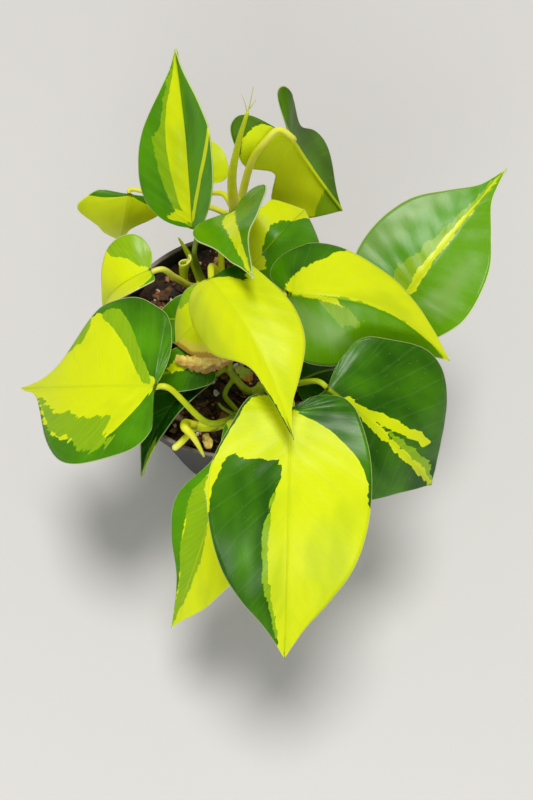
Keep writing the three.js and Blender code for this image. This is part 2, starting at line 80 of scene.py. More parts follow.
def placeLight(name):
    wanted = studio[name]
    lamp = bpy.data.lights.new(name, "SUN" if "spread" in wanted else "AREA")
    lamp.energy = wanted["power"]
    lamp.color = wanted["color"]
    if "spread" in wanted:
        lamp.angle = math.radians(wanted["spread"])
    else:
        lamp.size = wanted["size"] * mm
    lookAt(addObject(name, lamp), wanted["place"], studio["aim"])


def fillAir():
    world = bpy.data.worlds.new("studioAir")
    bpy.context.scene.world = world
    world.use_nodes = True
    air = world.node_tree.nodes["Background"]
    air.inputs["Color"].default_value = studio["air"]
    air.inputs["Strength"].default_value = studio["airPower"]


placeCamera()
placeLight("keyLight")
placeLight("fillLight")
fillAir()
bpy.context.scene.view_settings.view_transform = "Standard"
print("camera and lights ready")


# Shader maths
class Wire:
    # One output socket. Python's operators on it add the Math nodes.
    def __init__(self, tree, socket):
        self.tree = tree
        self.socket = socket

    def node(self, kind, settings=None, sockets=None, output=0):
        return addNode(self.tree, kind, settings, sockets, output)

    def math(self, operation, first, second):
        return self.node("ShaderNodeMath", {"operation": operation}, {0: first, 1: second})

    def __add__(self, other):
        return self.math("ADD", self, other)

    __radd__ = __add__

    def __sub__(self, other):
        return self.math("SUBTRACT", self, other)

    def __rsub__(self, other):
        return self.math("SUBTRACT", other, self)

    def __mul__(self, other):
        return self.math("MULTIPLY", self, other)

    __rmul__ = __mul__

    def __truediv__(self, other):
        return self.math("DIVIDE", self, other)

    def __rtruediv__(self, other):
        return self.math("DIVIDE", other, self)

    def sine(self):
        return self.math("SINE", self, 0)

    def rise(self, low, high):
        # 0 below low, 1 above high, smooth between
        sockets = {"Value": self, "From Min": low, "From Max": high}
        return self.node("ShaderNodeMapRange", {"interpolation_type": "SMOOTHSTEP"}, sockets)


def addNode(tree, kind, settings=None, sockets=None, output=0):
    node = tree.nodes.new(kind)
    for name, value in (settings or {}).items():
        if name == "stops":
            setStops(node.color_ramp, value)
        else:
            setattr(node, name, value)
    for key, value in (sockets or {}).items():
        if isinstance(value, Wire):
            tree.links.new(value.socket, node.inputs[key])
        elif isinstance(value, tuple) and node.inputs[key].type == "RGBA":
            node.inputs[key].default_value = (*value, 1)
        else:
            node.inputs[key].default_value = value
    return Wire(tree, node.outputs[output])


def setStops(ramp, stops):
    while len(ramp.elements) < len(stops):
        ramp.elements.new(1)
    for element, (place, color) in zip(ramp.elements, stops):
        element.position = place
        element.color = (*color, 1)


def blend(factor, first, second):
    # The first colour where the factor is 0, the second where it is 1. The factor or the first is a Wire.
    wire = factor if isinstance(factor, Wire) else first
    return wire.node("ShaderNodeMix", {"data_type": "RGBA"}, {0: factor, 6: first, 7: second}, 2)


def coated(color, *coats):
    # Coats over a colour, each a mask and a colour
    for mask, tone in coats:
        color = blend(mask, color, tone)
    return color


def combine(x, y, z):
    return x.node("ShaderNodeCombineXYZ", None, {0: x, 1: y, 2: z})


def parts(vector):
    return [vector.node("ShaderNodeSeparateXYZ", None, {0: vector}, k) for k in range(3)]


def stretched(place, scale):
    return place.node("ShaderNodeMapping", None, {"Vector": place, "Scale": scale})


def grain(place, scale, detail=3, roughness=0.5):
    sockets = {"Vector": place, "Scale": scale, "Detail": detail, "Roughness": roughness}
    return place.node("ShaderNodeTexNoise", None, sockets)


def cells(place, scale):
    return place.node("ShaderNodeTexVoronoi", None, {"Vector": place, "Scale": scale})


def attribute(tree, name):
    return addNode(tree, "ShaderNodeAttribute", {"attribute_name": name}, None, 1)


def objectPlace(tree):
    return addNode(tree, "ShaderNodeTexCoord", None, None, 3)


def newMaterial(name, looks, *choices):
    # A material whose nodes are made by looks(tree, principled, ...)
    material = bpy.data.materials.new(name)
    material.use_nodes = True
    tree = material.node_tree
    looks(tree, tree.nodes["Principled BSDF"], *choices)
    return material


def feed(tree, principled, color, roughness, height=None, depth=0, **fixed):
    # Depth is that of the bumps, in millimetres. Fixed values go to the sockets that they name.
    tree.links.new(color.socket, principled.inputs["Base Color"])
    tree.links.new(roughness.socket, principled.inputs["Roughness"])
    if height:
        bump = addNode(tree, "ShaderNodeBump", None, {"Height": height, "Distance": depth * mm})
        tree.links.new(bump.socket, principled.inputs["Normal"])
    for label, value in fixed.items():
        principled.inputs[label.replace("_", " ")].default_value = value


# Leaf finish
leafColors = {
    "lime": (0.67, 0.77, 0.002), "limeDeep": (0.54, 0.66, 0.002),
    "olive": (0.27, 0.47, 0.004), "oliveDeep": (0.19, 0.37, 0.003),
    "green": (0.098, 0.325, 0.001), "greenDark": (0.007, 0.060, 0.0008),
    # Pale tints the veins and is the painted sheen on green; cream is the painted sheen on lime, and also
    # tints the margins and specks
    "pale": (0.30, 0.45, 0.14), "cream": (0.78, 0.83, 0.36),
    "dried": (0.80, 0.62, 0.09), "driedEdge": (0.42, 0.20, 0.04), "dull": (0.55, 0.58, 0.02),
}
# Noise on a blade: how fast it changes along and across the side veins, its seed and its detail
leafGrains = {
    "wide": (0.08, 0.14, 7, 1), "broad": (0.09, 0.42, 9, 1), "fine": (0.08, 1.2, 0, 2),
    "tiny": (0.8, 2.8, 3, 2), "soft": (0.05, 0.05, 11, 2), "streaks": (0.08, 1.3, 5, 3),
    "bend": (0.05, 0.08, 0, 1), "brushed": (0.16, 0.75, 2, 3),
}
# How strongly each thing shows; pale is the strength of the painted sheen of the pale bands. Teeth are the
# ragged ends of a band, in millimetres.
leafLook = {
    "wideTeeth": 3.5, "broadTeeth": 4.5, "fineTeeth": 2.2, "tinyTeeth": 0.5, "oliveTeeth": 1.1,
    "limeTeeth": 0.9, "border": 0.1, "mottle": 1.1, "limeStreaks": 0.22, "greenStreaks": 0.3,
    "oliveStreaks": 0.55, "pale": 0.45, "rib": 0.5, "veinPitch": 1.15, "veinBend": 4, "veins": 0.05,
    "speckScale": 0.5, "specks": 0.3, "dried": 0.75, "driedEdge": 0.8, "veinHeight": 0.1,
    "brushHeight": 0.2, "bump": 0.2, "glow": 0.3, "glowReach": (1, 1, 0.15), "glowDepth": 0.9,
}
leafFaces = {
    "top": {"rib": -0.9, "roughness": 0.35, "specular": 0.16, "dull": 0},
    "under": {"rib": 1.2, "roughness": 0.53, "specular": 0.12, "dull": 0.06},
}


def leafLooks(tree, principled, face):
    look, tones = leafLook, leafColors
    green, olive, pale = parts(attribute(tree, "marks"))
    fromRib, fromEdge, lime = parts(attribute(tree, "spot"))
    along, across, seed = parts(attribute(tree, "vein"))
    depth, ribWidth, teeth = parts(attribute(tree, "tone"))
    dry = attribute(tree, "dryness")

    def veinGrain(name):
        alongScale, acrossScale, offset, detail = leafGrains[name]
        return grain(combine(along * alongScale, across * acrossScale, seed + offset), 1, detail)

    # Ragged ends: noise that changes fast across the side veins and slowly along them
    wide, broad, fine, tiny = [veinGrain(name) - 0.5 for name in ("wide", "broad", "fine", "tiny")]
    jag = (wide * look["wideTeeth"] + broad * look["broadTeeth"] + fine * look["fineTeeth"]) * teeth
    jag = jag + tiny * look["tinyTeeth"]
    border = look["border"]
    greenMask = (green + jag).rise(-border, border)
    oliveMask = (olive + jag * look["oliveTeeth"]).rise(-border, border)
    limeMask = (lime + jag * look["limeTeeth"]).rise(-border, border)
    # The pale bands are a painted highlight: a broad soft sheen where the leaf reflects the light
    paintedSheenMask = (pale + jag).rise(-3.5, 4)

    soft = veinGrain("soft")
    streaks = veinGrain("streaks")
    limeTone = blend(soft.rise(0.4, 0.75), tones["lime"], tones["limeDeep"])
    limeTone = blend(streaks.rise(0.66, 0.78) * look["limeStreaks"], limeTone, tones["olive"])
    darker = (depth + (soft - 0.5) * look["mottle"]).rise(0, 1)
    greenTone = coated(blend(darker, tones["green"], tones["greenDark"]),
                       (streaks.rise(0.58, 0.8) * look["greenStreaks"], tones["green"]),
                       ((0 - depth).rise(0, 1), tones["olive"]))
    oliveTone = blend(streaks.rise(0.35, 0.7) * look["oliveStreaks"], tones["olive"], tones["oliveDeep"])
    # Painted highlight colour of the pale bands: cream over lime, pale green over green
    paintedSheenTone = blend(greenMask, tones["cream"], tones["pale"])

    # The midrib narrows to the tip, the side veins show faintly, and the margin is a thin pale line, partly
    # the leaf's own pale rim and partly a painted highlight along the edge
    rib = 1 - (fromRib / ribWidth).rise(0.1, 0.75)
    wave = (across * look["veinPitch"] + (veinGrain("bend") - 0.5) * look["veinBend"]).sine()
    edge = 1 - fromEdge.rise(0.1, 0.38)
    specks = 1 - cells(combine(along, across, seed), look["speckScale"]).rise(0.03, 0.08)
    dried = (dry - fromEdge + (fine + tiny) * 3).rise(-1.5, 1.5)
    driedEdge = (dry * 0.4 - fromEdge + (fine + tiny) * 2).rise(-0.6, 0.6)
    color = coated(limeTone, (greenMask, greenTone), (oliveMask, oliveTone), (limeMask, limeTone),
                   (paintedSheenMask * look["pale"], paintedSheenTone), (rib * look["rib"], tones["limeDeep"]),
                   (wave.rise(0.9, 1) * look["veins"], tones["pale"]),
                   # The pale margin: partly the leaf's own rim, partly a painted highlight
                   (edge * (0.8 - depth * 0.5), tones["cream"]), (specks * look["specks"], tones["cream"]),
                   (dried * look["dried"], tones["dried"]),
                   (driedEdge * look["driedEdge"], tones["driedEdge"]))
    if face["dull"]:
        color = blend(face["dull"], color, tones["dull"])
    brushed = veinGrain("brushed")
    height = wave * look["veinHeight"] + rib * face["rib"] + (brushed - 0.5) * look["brushHeight"]
    roughness = brushed * 0.1 + face["roughness"] - greenMask * 0.15 + edge * 0.1
    feed(tree, principled, color, roughness, height, look["bump"], Specular_IOR_Level=face["specular"],
         Subsurface_Weight=look["glow"], Subsurface_Radius=look["glowReach"],
         Subsurface_Scale=look["glowDepth"] * mm)


leafTop = newMaterial("leafGlossy", leafLooks, leafFaces["top"])
leafUnder = newMaterial("leafUnderside", leafLooks, leafFaces["under"])


# Leaves
# Half of an outline: along the midrib (0 base, 1 tip) and across (1 = half the width). A leaf lies between a
# heart and an oval, and the drip draws its tip out.
halfHeart = [
    (0, 0), (-0.075, 0.1), (-0.15, 0.3), (-0.165, 0.52), (-0.11, 0.76), (0.02, 0.94), (0.17, 1),
    (0.34, 0.955), (0.51, 0.8), (0.67, 0.57), (0.8, 0.35), (0.9, 0.17), (1, 0),
]
halfOval = [
    (0, 0), (0, 0.18), (0.01, 0.36), (0.04, 0.6), (0.1, 0.82), (0.18, 0.95), (0.3, 1),
    (0.43, 0.97), (0.57, 0.84), (0.7, 0.63), (0.82, 0.38), (0.91, 0.17), (1, 0),
]
tipDrip = [0, 0, 0, 0, 0, 0, 0, 0, 0, 0.1, 0.17, 0.1, 0]
sinusDepth = 0.165
veinLean = 0.25

# What all the blades share, in millimetres or as shares. Pitches and scales are per millimetre.
bladeMake = {
    "rows": 84, "columns": 50, "crowding": 1.35, "rowStretch": 1.3, "archRise": 0.868,
    "ribThickness": 1.5, "thinShare": 0.3, "rimShare": 0.05, "lowered": -0.2, "weld": 0.02,
    "ribWidth": 1.5, "ribTaper": 0.75, "groove": 0.16,
    "ripple": 0.05, "ripplePitch": 1.05, "swell": 0.5, "swellScale": 0.09, "swellSeed": 5.3, "veinSeed": 13.7,
    "ground": 20, "beyond": 30, "atMargin": 0.99, "driedShy": 3, "sampling": 0.01,
}


def fromLeft(*stations):
    # A band from the left margin to a place in each row
    return [(row, -100, end) for row, end in stations]


def toRight(*stations):
    # A band from a place in each row to the right margin
    return [(row, start, 100) for row, start in stations]


# Millimetres and degrees. The values of halfKeys are one number, or a pair for the left and the right half.
# A bump is its half (0 left, 1 right), its place along the midrib, how much wider it makes the blade, and its
# reach. Depth is how dark the greens are, and below 0 how olive. Dried is the width of the dried margin, and
# rib widens the midrib's line. Patches are bands across the blade: a colour, how ragged the border is, and
# stations in percent. A station is a row (0 base, 100 tip), and where the band starts and ends in it
# (-100 left margin, 0 midrib, 100 right margin). A pale band is a painted highlight, a broad sheen.
plainLeaf = {
    "width": 50, "arch": 6, "bow": 0, "fold": 8, "curl": 0, "nape": 0, "oval": 0, "lobes": 1, "belly": 1,
    "drip": 0.5, "wide": 1, "bumps": [], "depth": 0.4, "ground": "lime", "patches": [], "dried": 0, "rib": 1,
    "slot": "leaf_lime",
}
halfKeys = ("fold", "curl", "oval", "lobes", "belly", "drip", "wide", "depth", "dried")
leaves = {
    "tall": dict(base=(-18, 42, 122), tip=(-23, 92, 178), face=(-0.35, -0.5, 0.8), width=38, arch=2, bow=2,
        fold=(10, 36), curl=-8, oval=1, belly=(1, 0.9), drip=0.3, wide=(1.2, 0.92),
        bumps=[(1, 0.68, 0.2, 0.18), (1, 0.1, -0.2, 0.15)], ground="green", depth=0.2, slot="leaf_green",
        patches=[("olive", 0.8, [(36, -10, 0), (42, -24, 0), (50, -42, 0), (56, -55, 0), (62, -68, 0),
                (67, -80, 0), (70, -72, 0), (78, -80, 0), (88, -90, 0), (100, -100, 20)]),
            ("lime", 0.3, [(45, -10, 2), (50, -20, 2), (57, -30, 2), (64, -42, 1), (70, -52, 0),
                (75, -62, 0), (80, -68, 0), (88, -70, 5), (100, -80, 30)]),
            ("lime", 1.6, [(30, -65, -45), (42, -42, -8), (50, -26, 0)]),
            ("lime", 0.3, [(46, 2, 12), (52, 5, 24), (56, 14, 42), (59, 32, 56), (62, 52, 86),
                (65, 80, 100), (67, 95, 100)])]),
    "far_left": dict(base=(-48, 66, 110), tip=(-57, 63, 75), face=(0.05, -1, 0.25), width=42, arch=5,
        fold=-5, oval=(0.5, 0.8), lobes=0.1, belly=(0.8, 0.7), drip=(0.6, 0.8), wide=(1, 1.18),
        bumps=[(0, 0.62, -0.85, 0.38), (1, 0.65, -0.5, 0.25)],
        patches=[("green", 0.5, [(0, -100, 100), (30, -100, 100), (35, -100, 30), (41, -60, -20)])]),
    "droop": dict(base=(24, 75, 142), tip=(49, 66, 97), face=(-0.4, 0.8, -0.4), width=54, fold=(15, 48),
        nape=65, lobes=(2, 1.3), belly=(0.5, 1), drip=(-1, 0.2), wide=(1, 0.85),
        bumps=[(0, 0.35, -0.45, 0.18), (1, 0.2, -0.5, 0.2), (1, 0.68, 0.35, 0.18)], depth=0.6,
        slot="leaf_green",
        patches=[("green", 0.5, fromLeft((6, -80), (13, -72), (20, -66), (26, -66), (32, -78), (37, -95))),
            ("green", 0.3, toRight((0, 10), (45, 8), (90, 5), (100, 0))),
            ("olive", 0.6, fromLeft((86, 0), (100, 20)))]),
    "sliver": dict(base=(-14, 73, 112), tip=(-20, 98, 114), face=(0, -0.1, 1), width=24, arch=3, lobes=0.6),
    "folded": dict(base=(1, 38, 142), tip=(9, -15, 182), face=(-0.43, 0.42, 0.78), width=44, arch=2,
        fold=(14, 10), oval=(0, 0.6), lobes=(1.2, 0.05), belly=(1.5, 0.9), drip=0.8, wide=(0.78, 0.9),
        bumps=[(0, 0.6, -0.6, 0.28), (1, 0.6, -0.4, 0.25)], ground="green", depth=(0.3, -0.05),
        slot="leaf_green",
        patches=[("lime", 0.7, [(42, 0, 22), (51, 2, 34), (62, 3, 42), (77, 3, 48), (86, -4, 58),
                (96, -28, 95), (100, -100, 100)])]),
    "curled": dict(base=(7, 29, 110), tip=(31, 57, 112), face=(0.3, -0.1, 1), width=36, arch=10, fold=0,
        curl=-20, lobes=0.3, belly=(1, 0.5), drip=(-1, 0), wide=(1.05, 1.4), bumps=[(0, 0.85, 0.4, 0.15)],
        rib=0.4,
        patches=[("green", 0.8, [(38, 16, 90), (46, 20, 92), (53, 14, 95), (62, -12, 100), (70, -36, 100),
                (77, -26, 100), (84, -6, 100), (91, 45, 100)])]),
    "centre": dict(base=(-8, -4, 160), tip=(24, -69, 157), face=(-0.1, -0.45, 0.9), width=50, arch=8,
        bow=-5, fold=-12, curl=(-20, -45), oval=(0.5, 0), lobes=(0.3, 0.6), belly=(0.9, 1), drip=1,
        wide=(0.86, 0.9), bumps=[(0, 0.15, -0.12, 0.2), (1, 0.62, -0.6, 0.2)], depth=0.7,
        patches=[("green", 1, [(0, -100, -20), (30, -100, -12), (39, -85, -6), (43, -66, -40),
                (47, -60, -50)]),
            ("green", 0.3, toRight((76, 95), (83, 86), (92, 74), (99, 60)))]),
    "right": dict(base=(24, -6, 152), tip=(88, -26, 132), face=(0, -0.1, 1), width=60, arch=8, bow=-6,
        fold=(-25, -38), drip=0.3, bumps=[(0, 0.5, -0.18, 0.3)], depth=(0.55, -0.28),
        patches=[("green", 1.2, fromLeft((0, -20), (31, -31), (42, -42), (49, -62), (52, -82), (55, -98))),
            ("green", 0.4, toRight((0, 2), (60, 1), (85, 2), (93, 10), (97, 50))),
            # Painted highlight: this pale band is a sheen where this half reflects the light
            ("pale", 1, [(20, 10, 100), (47, 10, 60), (52, 24, 68), (58, 42, 74), (64, 60, 70)]),
            ("olive", 1.5, [(55, 4, 12), (60, 8, 34), (64, 18, 46), (68, 36, 46)]),
            ("lime", 0.8, [(49, 0, 5), (56, 1, 9), (62, 3, 10)])]),
    "right_up": dict(base=(73, 10, 118), tip=(119, 67, 130), face=(0, -0.1, 1), width=54, arch=3,
        fold=(0, 10), belly=(1, 1.3), drip=1, wide=(1.1, 1), ground="green", depth=(0.12, -0.28),
        slot="leaf_green",
        patches=[("olive", 0.9, [(40, -12, 0), (46, -30, 0), (53, -36, 0), (60, -26, 0), (68, -22, 2),
                (76, -26, 4), (84, -45, 10), (92, -80, 40), (100, -100, 100)]),
            ("lime", 0.5, [(44, -1, 2), (50, -3, 7), (56, -9, 5), (64, -8, 2), (72, -10, 2), (82, -16, 4),
                (90, -30, 10), (100, -100, 60)]),
            # Painted highlights: these pale bands are a sheen where the leaf reflects the light
            ("pale", 1, fromLeft((20, -50), (43, -68), (50, -62), (60, -56), (70, -66), (80, -80))),
            ("pale", 1, [(42, 20, 70), (50, 30, 80), (58, 35, 75), (66, 45, 65)])]),
    "right_low": dict(base=(38, -44, 146), tip=(83, -67, 97), face=(0.35, -0.5, 0.85), width=76, arch=10,
        fold=(-4, -12), lobes=0.3, belly=(0.75, 0.9), drip=0, bumps=[(0, 0, -0.2, 0.2)], ground="green",
        depth=0.65, slot="leaf_dark",
        patches=[("olive", 1, [(70, -12, -2), (76, -20, 0), (83, -36, 0), (90, -62, 10), (100, -100, 50)]),
            ("lime", 1, [(53, -4, 1), (61, -13, -1), (66, -22, -6), (71, -34, -14), (75, -50, -28),
                (79, -62, -46)]),
            ("lime", 0.7, [(60, -3, 3), (68, -5, 6), (75, -4, 10), (82, -10, 14), (90, -25, 15),
                (100, -40, 30)])]),
    "front": dict(base=(23, -54, 148), tip=(21, -139, 98), face=(0, -0.5, 0.85), width=62, arch=13, fold=4,
        lobes=0.4, belly=0.8, drip=0.4,
        bumps=[(0, 0, -0.08, 0.12), (1, -0.02, -0.3, 0.16), (1, 0.75, 0.06, 0.15)], depth=0.6,
        patches=[("green", 0.6, fromLeft((0, -10), (35, -10), (42, -14), (44, -39), (46, -62), (48, -83),
                (51, -95), (55, -99))),
            ("green", 0.8, [(49, 70, 82), (51, 55, 90), (53, 39, 95), (55, 27, 98), (57, 12, 100),
                (60, 10, 100), (62, 13, 100), (64, 20, 100), (68, 28, 100), (71, 35, 100), (74, 42, 100),
                (79, 48, 100), (86, 62, 100), (93, 78, 100)]),
            ("olive", 0.8, [(62, 13, 20), (66, 24, 33), (70, 33, 44), (76, 44, 56), (84, 57, 68),
                (92, 74, 82)]),
            ("green", 0.3, toRight((18, 96), (30, 93), (42, 94), (48, 98)))]),
    "front_left": dict(base=(1, -59, 112), tip=(-27, -120, 60), face=(-0.4, -0.4, 0.9), width=48, arch=10,
        bow=-4, fold=(6, 0), wide=(1, 0.74),
        bumps=[(0, 0.85, 0.35, 0.15), (1, 0.02, -0.55, 0.16), (1, 0.3, 0.06, 0.15), (1, 0.75, -0.3, 0.2)],
        depth=0.3,
        patches=[("green", 0.6, toRight((30, 60), (48, 55), (53, 50), (57, 66), (64, 64), (70, 78),
                (78, 86), (90, 96))),
            ("olive", 0.8, [(50, 45, 56), (56, 40, 66), (60, 28, 66), (65, 10, 68), (69, 0, 76),
                (73, -10, 80), (80, -12, 86), (88, -16, 96), (100, -10, 100)])]),
    "left": dict(base=(-31, -37, 132), tip=(-96, -17, 82), face=(-0.5, -0.1, 0.9), width=72, arch=8, bow=-2,
        fold=-4, oval=(0.6, 0), lobes=(0.1, 0.35), belly=(0.62, 1.2), drip=(0.8, 1.2), wide=(0.9, 1.1),
        bumps=[(0, 0.84, -0.8, 0.17), (0, 0.62, -0.08, 0.12), (1, 0.68, -0.32, 0.15), (1, 0.42, 0.04, 0.12),
               (1, 0, -0.12, 0.12)], depth=0.42,
        patches=[("green", 0.8, toRight((0, 6), (30, 6), (45, 10), (50, 30), (53, 52), (55, 70), (57, 80),
                (60, 87), (62, 88), (65, 93), (68, 98))),
            ("olive", 0.6, [(44, 0, 8), (50, 5, 32), (53, 20, 54), (55, 34, 72), (57, 48, 86), (59, 60, 90),
                (61, 72, 92), (63, 82, 90)]),
            ("olive", 1, toRight((66.5, 95), (68, 84), (70, 80), (71.5, 88), (73, 96))),
            ("green", 1.2, fromLeft((0, -4), (30, -6), (39, -12), (41, -36), (43, -60), (45, -76),
                (48, -82), (52, -76), (57, -74), (60, -84), (66, -92), (74, -98))),
            ("olive", 2.2, [(44, -80, -72), (47, -84, -60), (51, -78, -42), (55, -74, -42), (58, -78, -44),
                (61, -86, -47), (64, -90, -56), (67, -93, -70), (70, -95, -80), (74, -100, -88)])]),
    "small_left": dict(base=(-36, 19, 125), tip=(-58, 12, 104), face=(-0.3, -0.2, 0.9), width=40, arch=5,
        fold=(35, 0), lobes=(0.2, 0.8), drip=(0.5, -0.3), wide=(0.5, 1), depth=0.05,
        patches=[("olive", 0.8, toRight((0, 5), (40, 10), (50, 20), (54, 42), (59, 62), (64, 85))),
            ("green", 0.8, toRight((0, 30), (38, 30), (46, 45), (52, 66), (57, 85), (62, 97))),
            ("green", 0.6, fromLeft((4, -90), (14, -60), (28, -50), (40, -68), (48, -95)))]),
    "mid": dict(base=(-2, -3, 132), tip=(-24, -12, 118), face=(-0.2, -0.2, 0.9), width=34, fold=-10,
        lobes=0.6, belly=0.7, drip=-1, dried=(9, 0),
        patches=[("olive", 1, toRight((40, 90), (50, 72), (60, 70), (70, 85)))]),
    "mid_back": dict(base=(-14, 2, 108), tip=(-37, 5, 104), face=(0, 0, 1), width=26, arch=4, fold=5,
        lobes=0.5, drip=0.2, ground="green", depth=0.35, slot="leaf_green"),
    "mid_green": dict(base=(-10, -19, 116), tip=(-40, -26, 109), face=(0, -0.2, 1), width=20, arch=3,
        fold=-10, lobes=0.3, belly=0.8, drip=0, ground="green", depth=0.5, slot="leaf_green",
        patches=[("lime", 1.5, [(60, -10, 30), (66, 0, 50), (72, 0, 40), (78, -10, 10)])]),
    "dark": dict(base=(-13, -19, 99), tip=(-40, -60, 86), face=(-0.3, 0.1, 1), width=22, arch=7, bow=2,
        fold=(28, 58), lobes=0.3, drip=0.2, wide=(0.85, 1), ground="green", depth=1.1, slot="leaf_dark",
        patches=[("olive", 0.6, fromLeft((78, -60), (88, -30), (100, 40)))]),
    # A leaf in the shadow under the right leaf: its very dark green is partly its own colour, partly painted
    # shade
    "shade": dict(base=(27, -25, 106), tip=(50, -16, 100), face=(0, 0.2, 1), width=22, arch=4, fold=-6,
        lobes=0.4, ground="green", depth=0.85, slot="leaf_dark"),
}


def splinePoint(points, share):
    # A smooth curve through the points, share 0 to 1
    spans = len(points) - 1
    k = min(int(share * spans), spans - 1)
    f = share * spans - k
    start, end = points[k], points[k + 1]
    before = points[k - 1] if k > 0 else start * 2 - end
    after = points[k + 2] if k + 2 <= spans else end * 2 - start
    cubic = start * 3 - before - end * 3 + after
    return (start * 2 + (end - before) * f + (before * 2 - start * 5 + end * 4 - after) * f * f
            + cubic * f * f * f) * 0.5


class Blade:
    # The form of one leaf: where a row and a share of the half width lie in space
    def __init__(self, name):
        self.form = {**plainLeaf, **leaves[name]}
        for key in halfKeys:
            value = self.form[key]
            self.form[key] = value if isinstance(value, tuple) else (value, value)
        self.patches = [(color, ragged, [[percent / 100 for percent in station] for station in stations])
                        for color, ragged, stations in self.form["patches"]]
        self.halfWidths = [self.form["width"] / 2 * wider for wider in self.form["wide"]]
        self.base = Vector(self.form["base"])
        chord = Vector(self.form["tip"]) - self.base
        self.length = chord.length
        self.forward = chord.normalized()
        face = Vector(self.form["face"])
        self.up = (face - self.forward * face.dot(self.forward)).normalized()
        self.right = self.forward.cross(self.up)
        self.outlines = [self.halfPoints(0), self.halfPoints(1)]
        self.heart = [Vector((x, y, 0)) for x, y in halfHeart]

    def halfPoints(self, half):
        share = self.form["oval"][half]
        made = []
        for (x, y), (ovalX, ovalY), drip in zip(halfHeart, halfOval, tipDrip):
            x = x * (1 - share) + ovalX * share
            y = y * (1 - share) + ovalY * share
            x = x * self.form["lobes"][half] if x < 0 else x ** self.form["belly"][half]
            made.append(Vector((x, y - drip * self.form["drip"][half], 0)))
        return made

    def margin(self, half, row):
        edge = splinePoint(self.outlines[half], row)
        wider = 1
        for side, place, amount, reach in self.form["bumps"]:
            if side == half:
                wider += amount * math.exp(-((edge.x - place) / reach) ** 2)
        return Vector((edge.x, edge.y * wider, 0))

    def veinStart(self, row):
        x = splinePoint(self.heart, row).x
        return 0 if x <= 0 else x * (x + veinLean) / (1 + veinLean)

    def midrib(self, x):
        lift = self.form["arch"] * math.sin(math.pi * max(x, 0) ** bladeMake["archRise"])
        return (self.base + self.forward * (x * self.length) + self.up * lift
                + self.right * (self.form["bow"] * math.sin(math.pi * x)))

    def directions(self, x):
        near = bladeMake["sampling"]
        tangent = (self.midrib(min(x + near, 1)) - self.midrib(max(x - near, 0))).normalized()
        normal = (self.up - tangent * self.up.dot(tangent)).normalized()
        return tangent, normal, tangent.cross(normal)

    def point(self, half, x, y):
        tangent, normal, side = self.directions(max(x, 0))
        fold = math.radians(self.form["fold"][half])
        bend = math.radians(self.form["curl"][half]) or 1e-6
        across = self.halfWidths[half] / bend * (math.sin(fold + bend * y) - math.sin(fold))
        lift = self.halfWidths[half] / bend * (math.cos(fold) - math.cos(fold + bend * y))
        point = self.midrib(max(x, 0))
        if x < 0:
            nape = math.radians(self.form["nape"]) * (-x / sinusDepth)
            point += tangent * (x * self.length * math.cos(nape / 2))
            point -= normal * (x * self.length * math.sin(nape / 2))
        return point + side * (across if half == 1 else -across) + normal * lift


def bandReach(stations, row, place, widthHere, rowLength):
    # How far inside a band a spot lies, in millimetres: negative outside
    first, last = stations[0][0], stations[-1][0]
    here = min(max(row, first), last)
    for low, high in zip(stations, stations[1:]):
        if here <= high[0]:
            break
    share = (here - low[0]) / (high[0] - low[0])
    start, end = [a + (b - a) * share for a, b in zip(low[1:], high[1:])]
    beyond, atMargin = bladeMake["beyond"], bladeMake["atMargin"]
    return min(beyond if start <= -atMargin else (place - start) * widthHere,
               beyond if end >= atMargin else (end - place) * widthHere,
               beyond if first <= 0 else (row - first) * rowLength,
               beyond if last >= 1 else (last - row) * rowLength)


def markFields(blade, row, place, widthHere, rowLength):
    # How far inside each colour a spot lies, and how ragged the nearest border is
    fields = dict.fromkeys(("green", "olive", "pale", "lime"), -bladeMake["ground"])
    if blade.form["ground"] == "green":
        fields["green"] = bladeMake["ground"]
    teeth, nearest = 1, math.inf
    for color, ragged, stations in blade.patches:
        reach = bandReach(stations, row, place, widthHere, rowLength)
        fields[color] = max(fields[color], reach)
        if abs(reach) < nearest:
            teeth, nearest = ragged, abs(reach)
    return fields, teeth


def surfaceGrid(columns, rows):
    # A flat grid from -1 to 1
    sheet = bmesh.new()
    bmesh.ops.create_grid(sheet, x_segments=columns, y_segments=rows, size=1)
    return sheet


def layers(sheet, *names):
    return [sheet.verts.layers.float_vector.new(name) for name in names]


def shadeSmooth(mesh, smooth=True):
    mesh.polygons.foreach_set("use_smooth", [smooth] * len(mesh.polygons))


def toObject(name, sheet, *materials):
    mesh = bpy.data.meshes.new(name)
    sheet.to_mesh(mesh)
    sheet.free()
    for material in materials:
        mesh.materials.append(material)
    shadeSmooth(mesh)
    return addObject(name, mesh)


